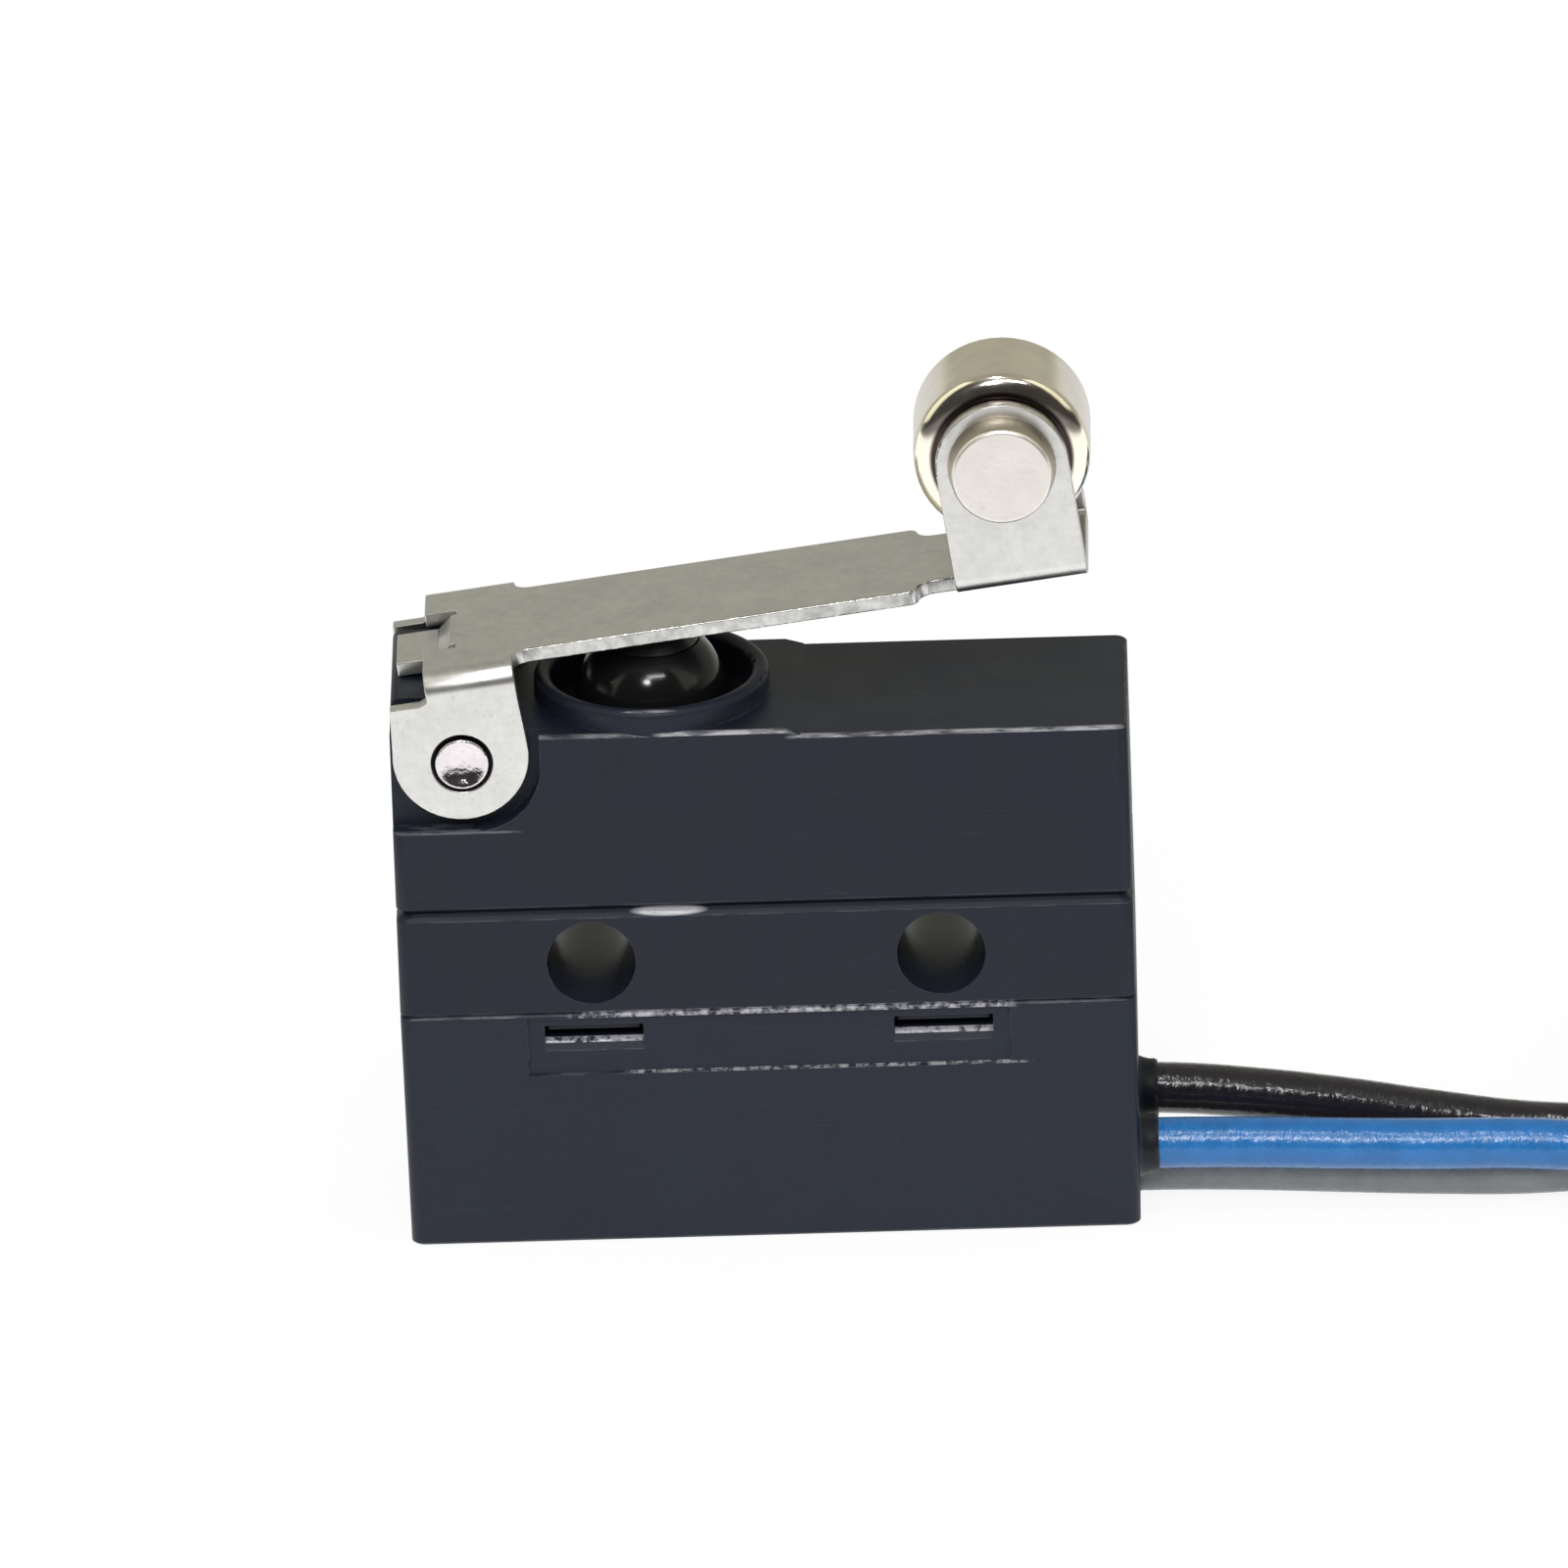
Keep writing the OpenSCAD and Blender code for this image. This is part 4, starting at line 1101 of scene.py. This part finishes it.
    def camera(self, context, look):
        """The camera, rolled about its own axis and moved sideways so that no lens shift is needed"""
        back = direction(look.azimuth, look.elevation)
        right = Vector((math.cos(look.azimuth), math.sin(look.azimuth), 0))
        up = right.cross(-back)
        side = math.cos(look.roll) * right - math.sin(look.roll) * up
        top = math.sin(look.roll) * right + math.cos(look.roll) * up
        shift = CAMERA_SHIFT[0] * MM * side + CAMERA_SHIFT[1] * MM * top
        target = Vector((0, 0, CAMERA_AIM_Z * MM)) + shift
        data = bpy.data.cameras.new("Camera")
        data.sensor_width = 36.0
        data.lens = look.lens
        data.clip_start, data.clip_end = 0.01, 100.0
        camera = linked("Camera", data)
        turn = Matrix((side, top, back)).transposed().to_4x4()
        camera.matrix_world = Matrix.Translation(target + look.distance * back) @ turn
        context.scene.camera = camera


class SWITCH_PT_panel(bpy.types.Panel):
    """Lists the pieces of the switch and their settings"""

    bl_idname = "SWITCH_PT_panel"
    bl_label = "Roller lever switch"
    bl_space_type = "VIEW_3D"
    bl_region_type = "UI"
    bl_category = "Switch"

    def draw(self, context):
        for operator in OPERATORS:
            self.layout.operator(operator.bl_idname)
        for name, look in LOOKS.items():
            box = self.layout.box()
            for key in look.__annotations__:
                box.prop(getattr(context.scene, name), key)


LOOKS = {
    "switch_body": SwitchBodyLook,
    "switch_metal": SwitchMetalLook,
    "switch_leads": SwitchLeadLook,
    "switch_stage": SwitchStageLook,
}
OPERATORS = (
    SWITCH_OT_stage, SWITCH_OT_leads, SWITCH_OT_body, SWITCH_OT_lever, SWITCH_OT_roller, SWITCH_OT_pivot,
    SWITCH_OT_plunger, SWITCH_OT_contacts,
)
CLASSES = (*LOOKS.values(), *OPERATORS, SWITCH_PT_panel)


def register():
    """Registers the settings, the operators and the panel"""
    for item in CLASSES:
        bpy.utils.register_class(item)
    for name, look in LOOKS.items():
        setattr(bpy.types.Scene, name, PointerProperty(type=look))


def unregister():
    """Removes what register adds"""
    for name in LOOKS:
        delattr(bpy.types.Scene, name)
    for item in reversed(CLASSES):
        bpy.utils.unregister_class(item)


def main():
    """Builds the whole switch"""
    register()
    bpy.ops.switch.stage()
    bpy.ops.switch.leads()
    bpy.ops.switch.body()
    bpy.ops.switch.lever()
    bpy.ops.switch.roller()
    bpy.ops.switch.pivot()
    bpy.ops.switch.plunger()
    bpy.ops.switch.contacts()


if __name__ == "__main__":
    main()
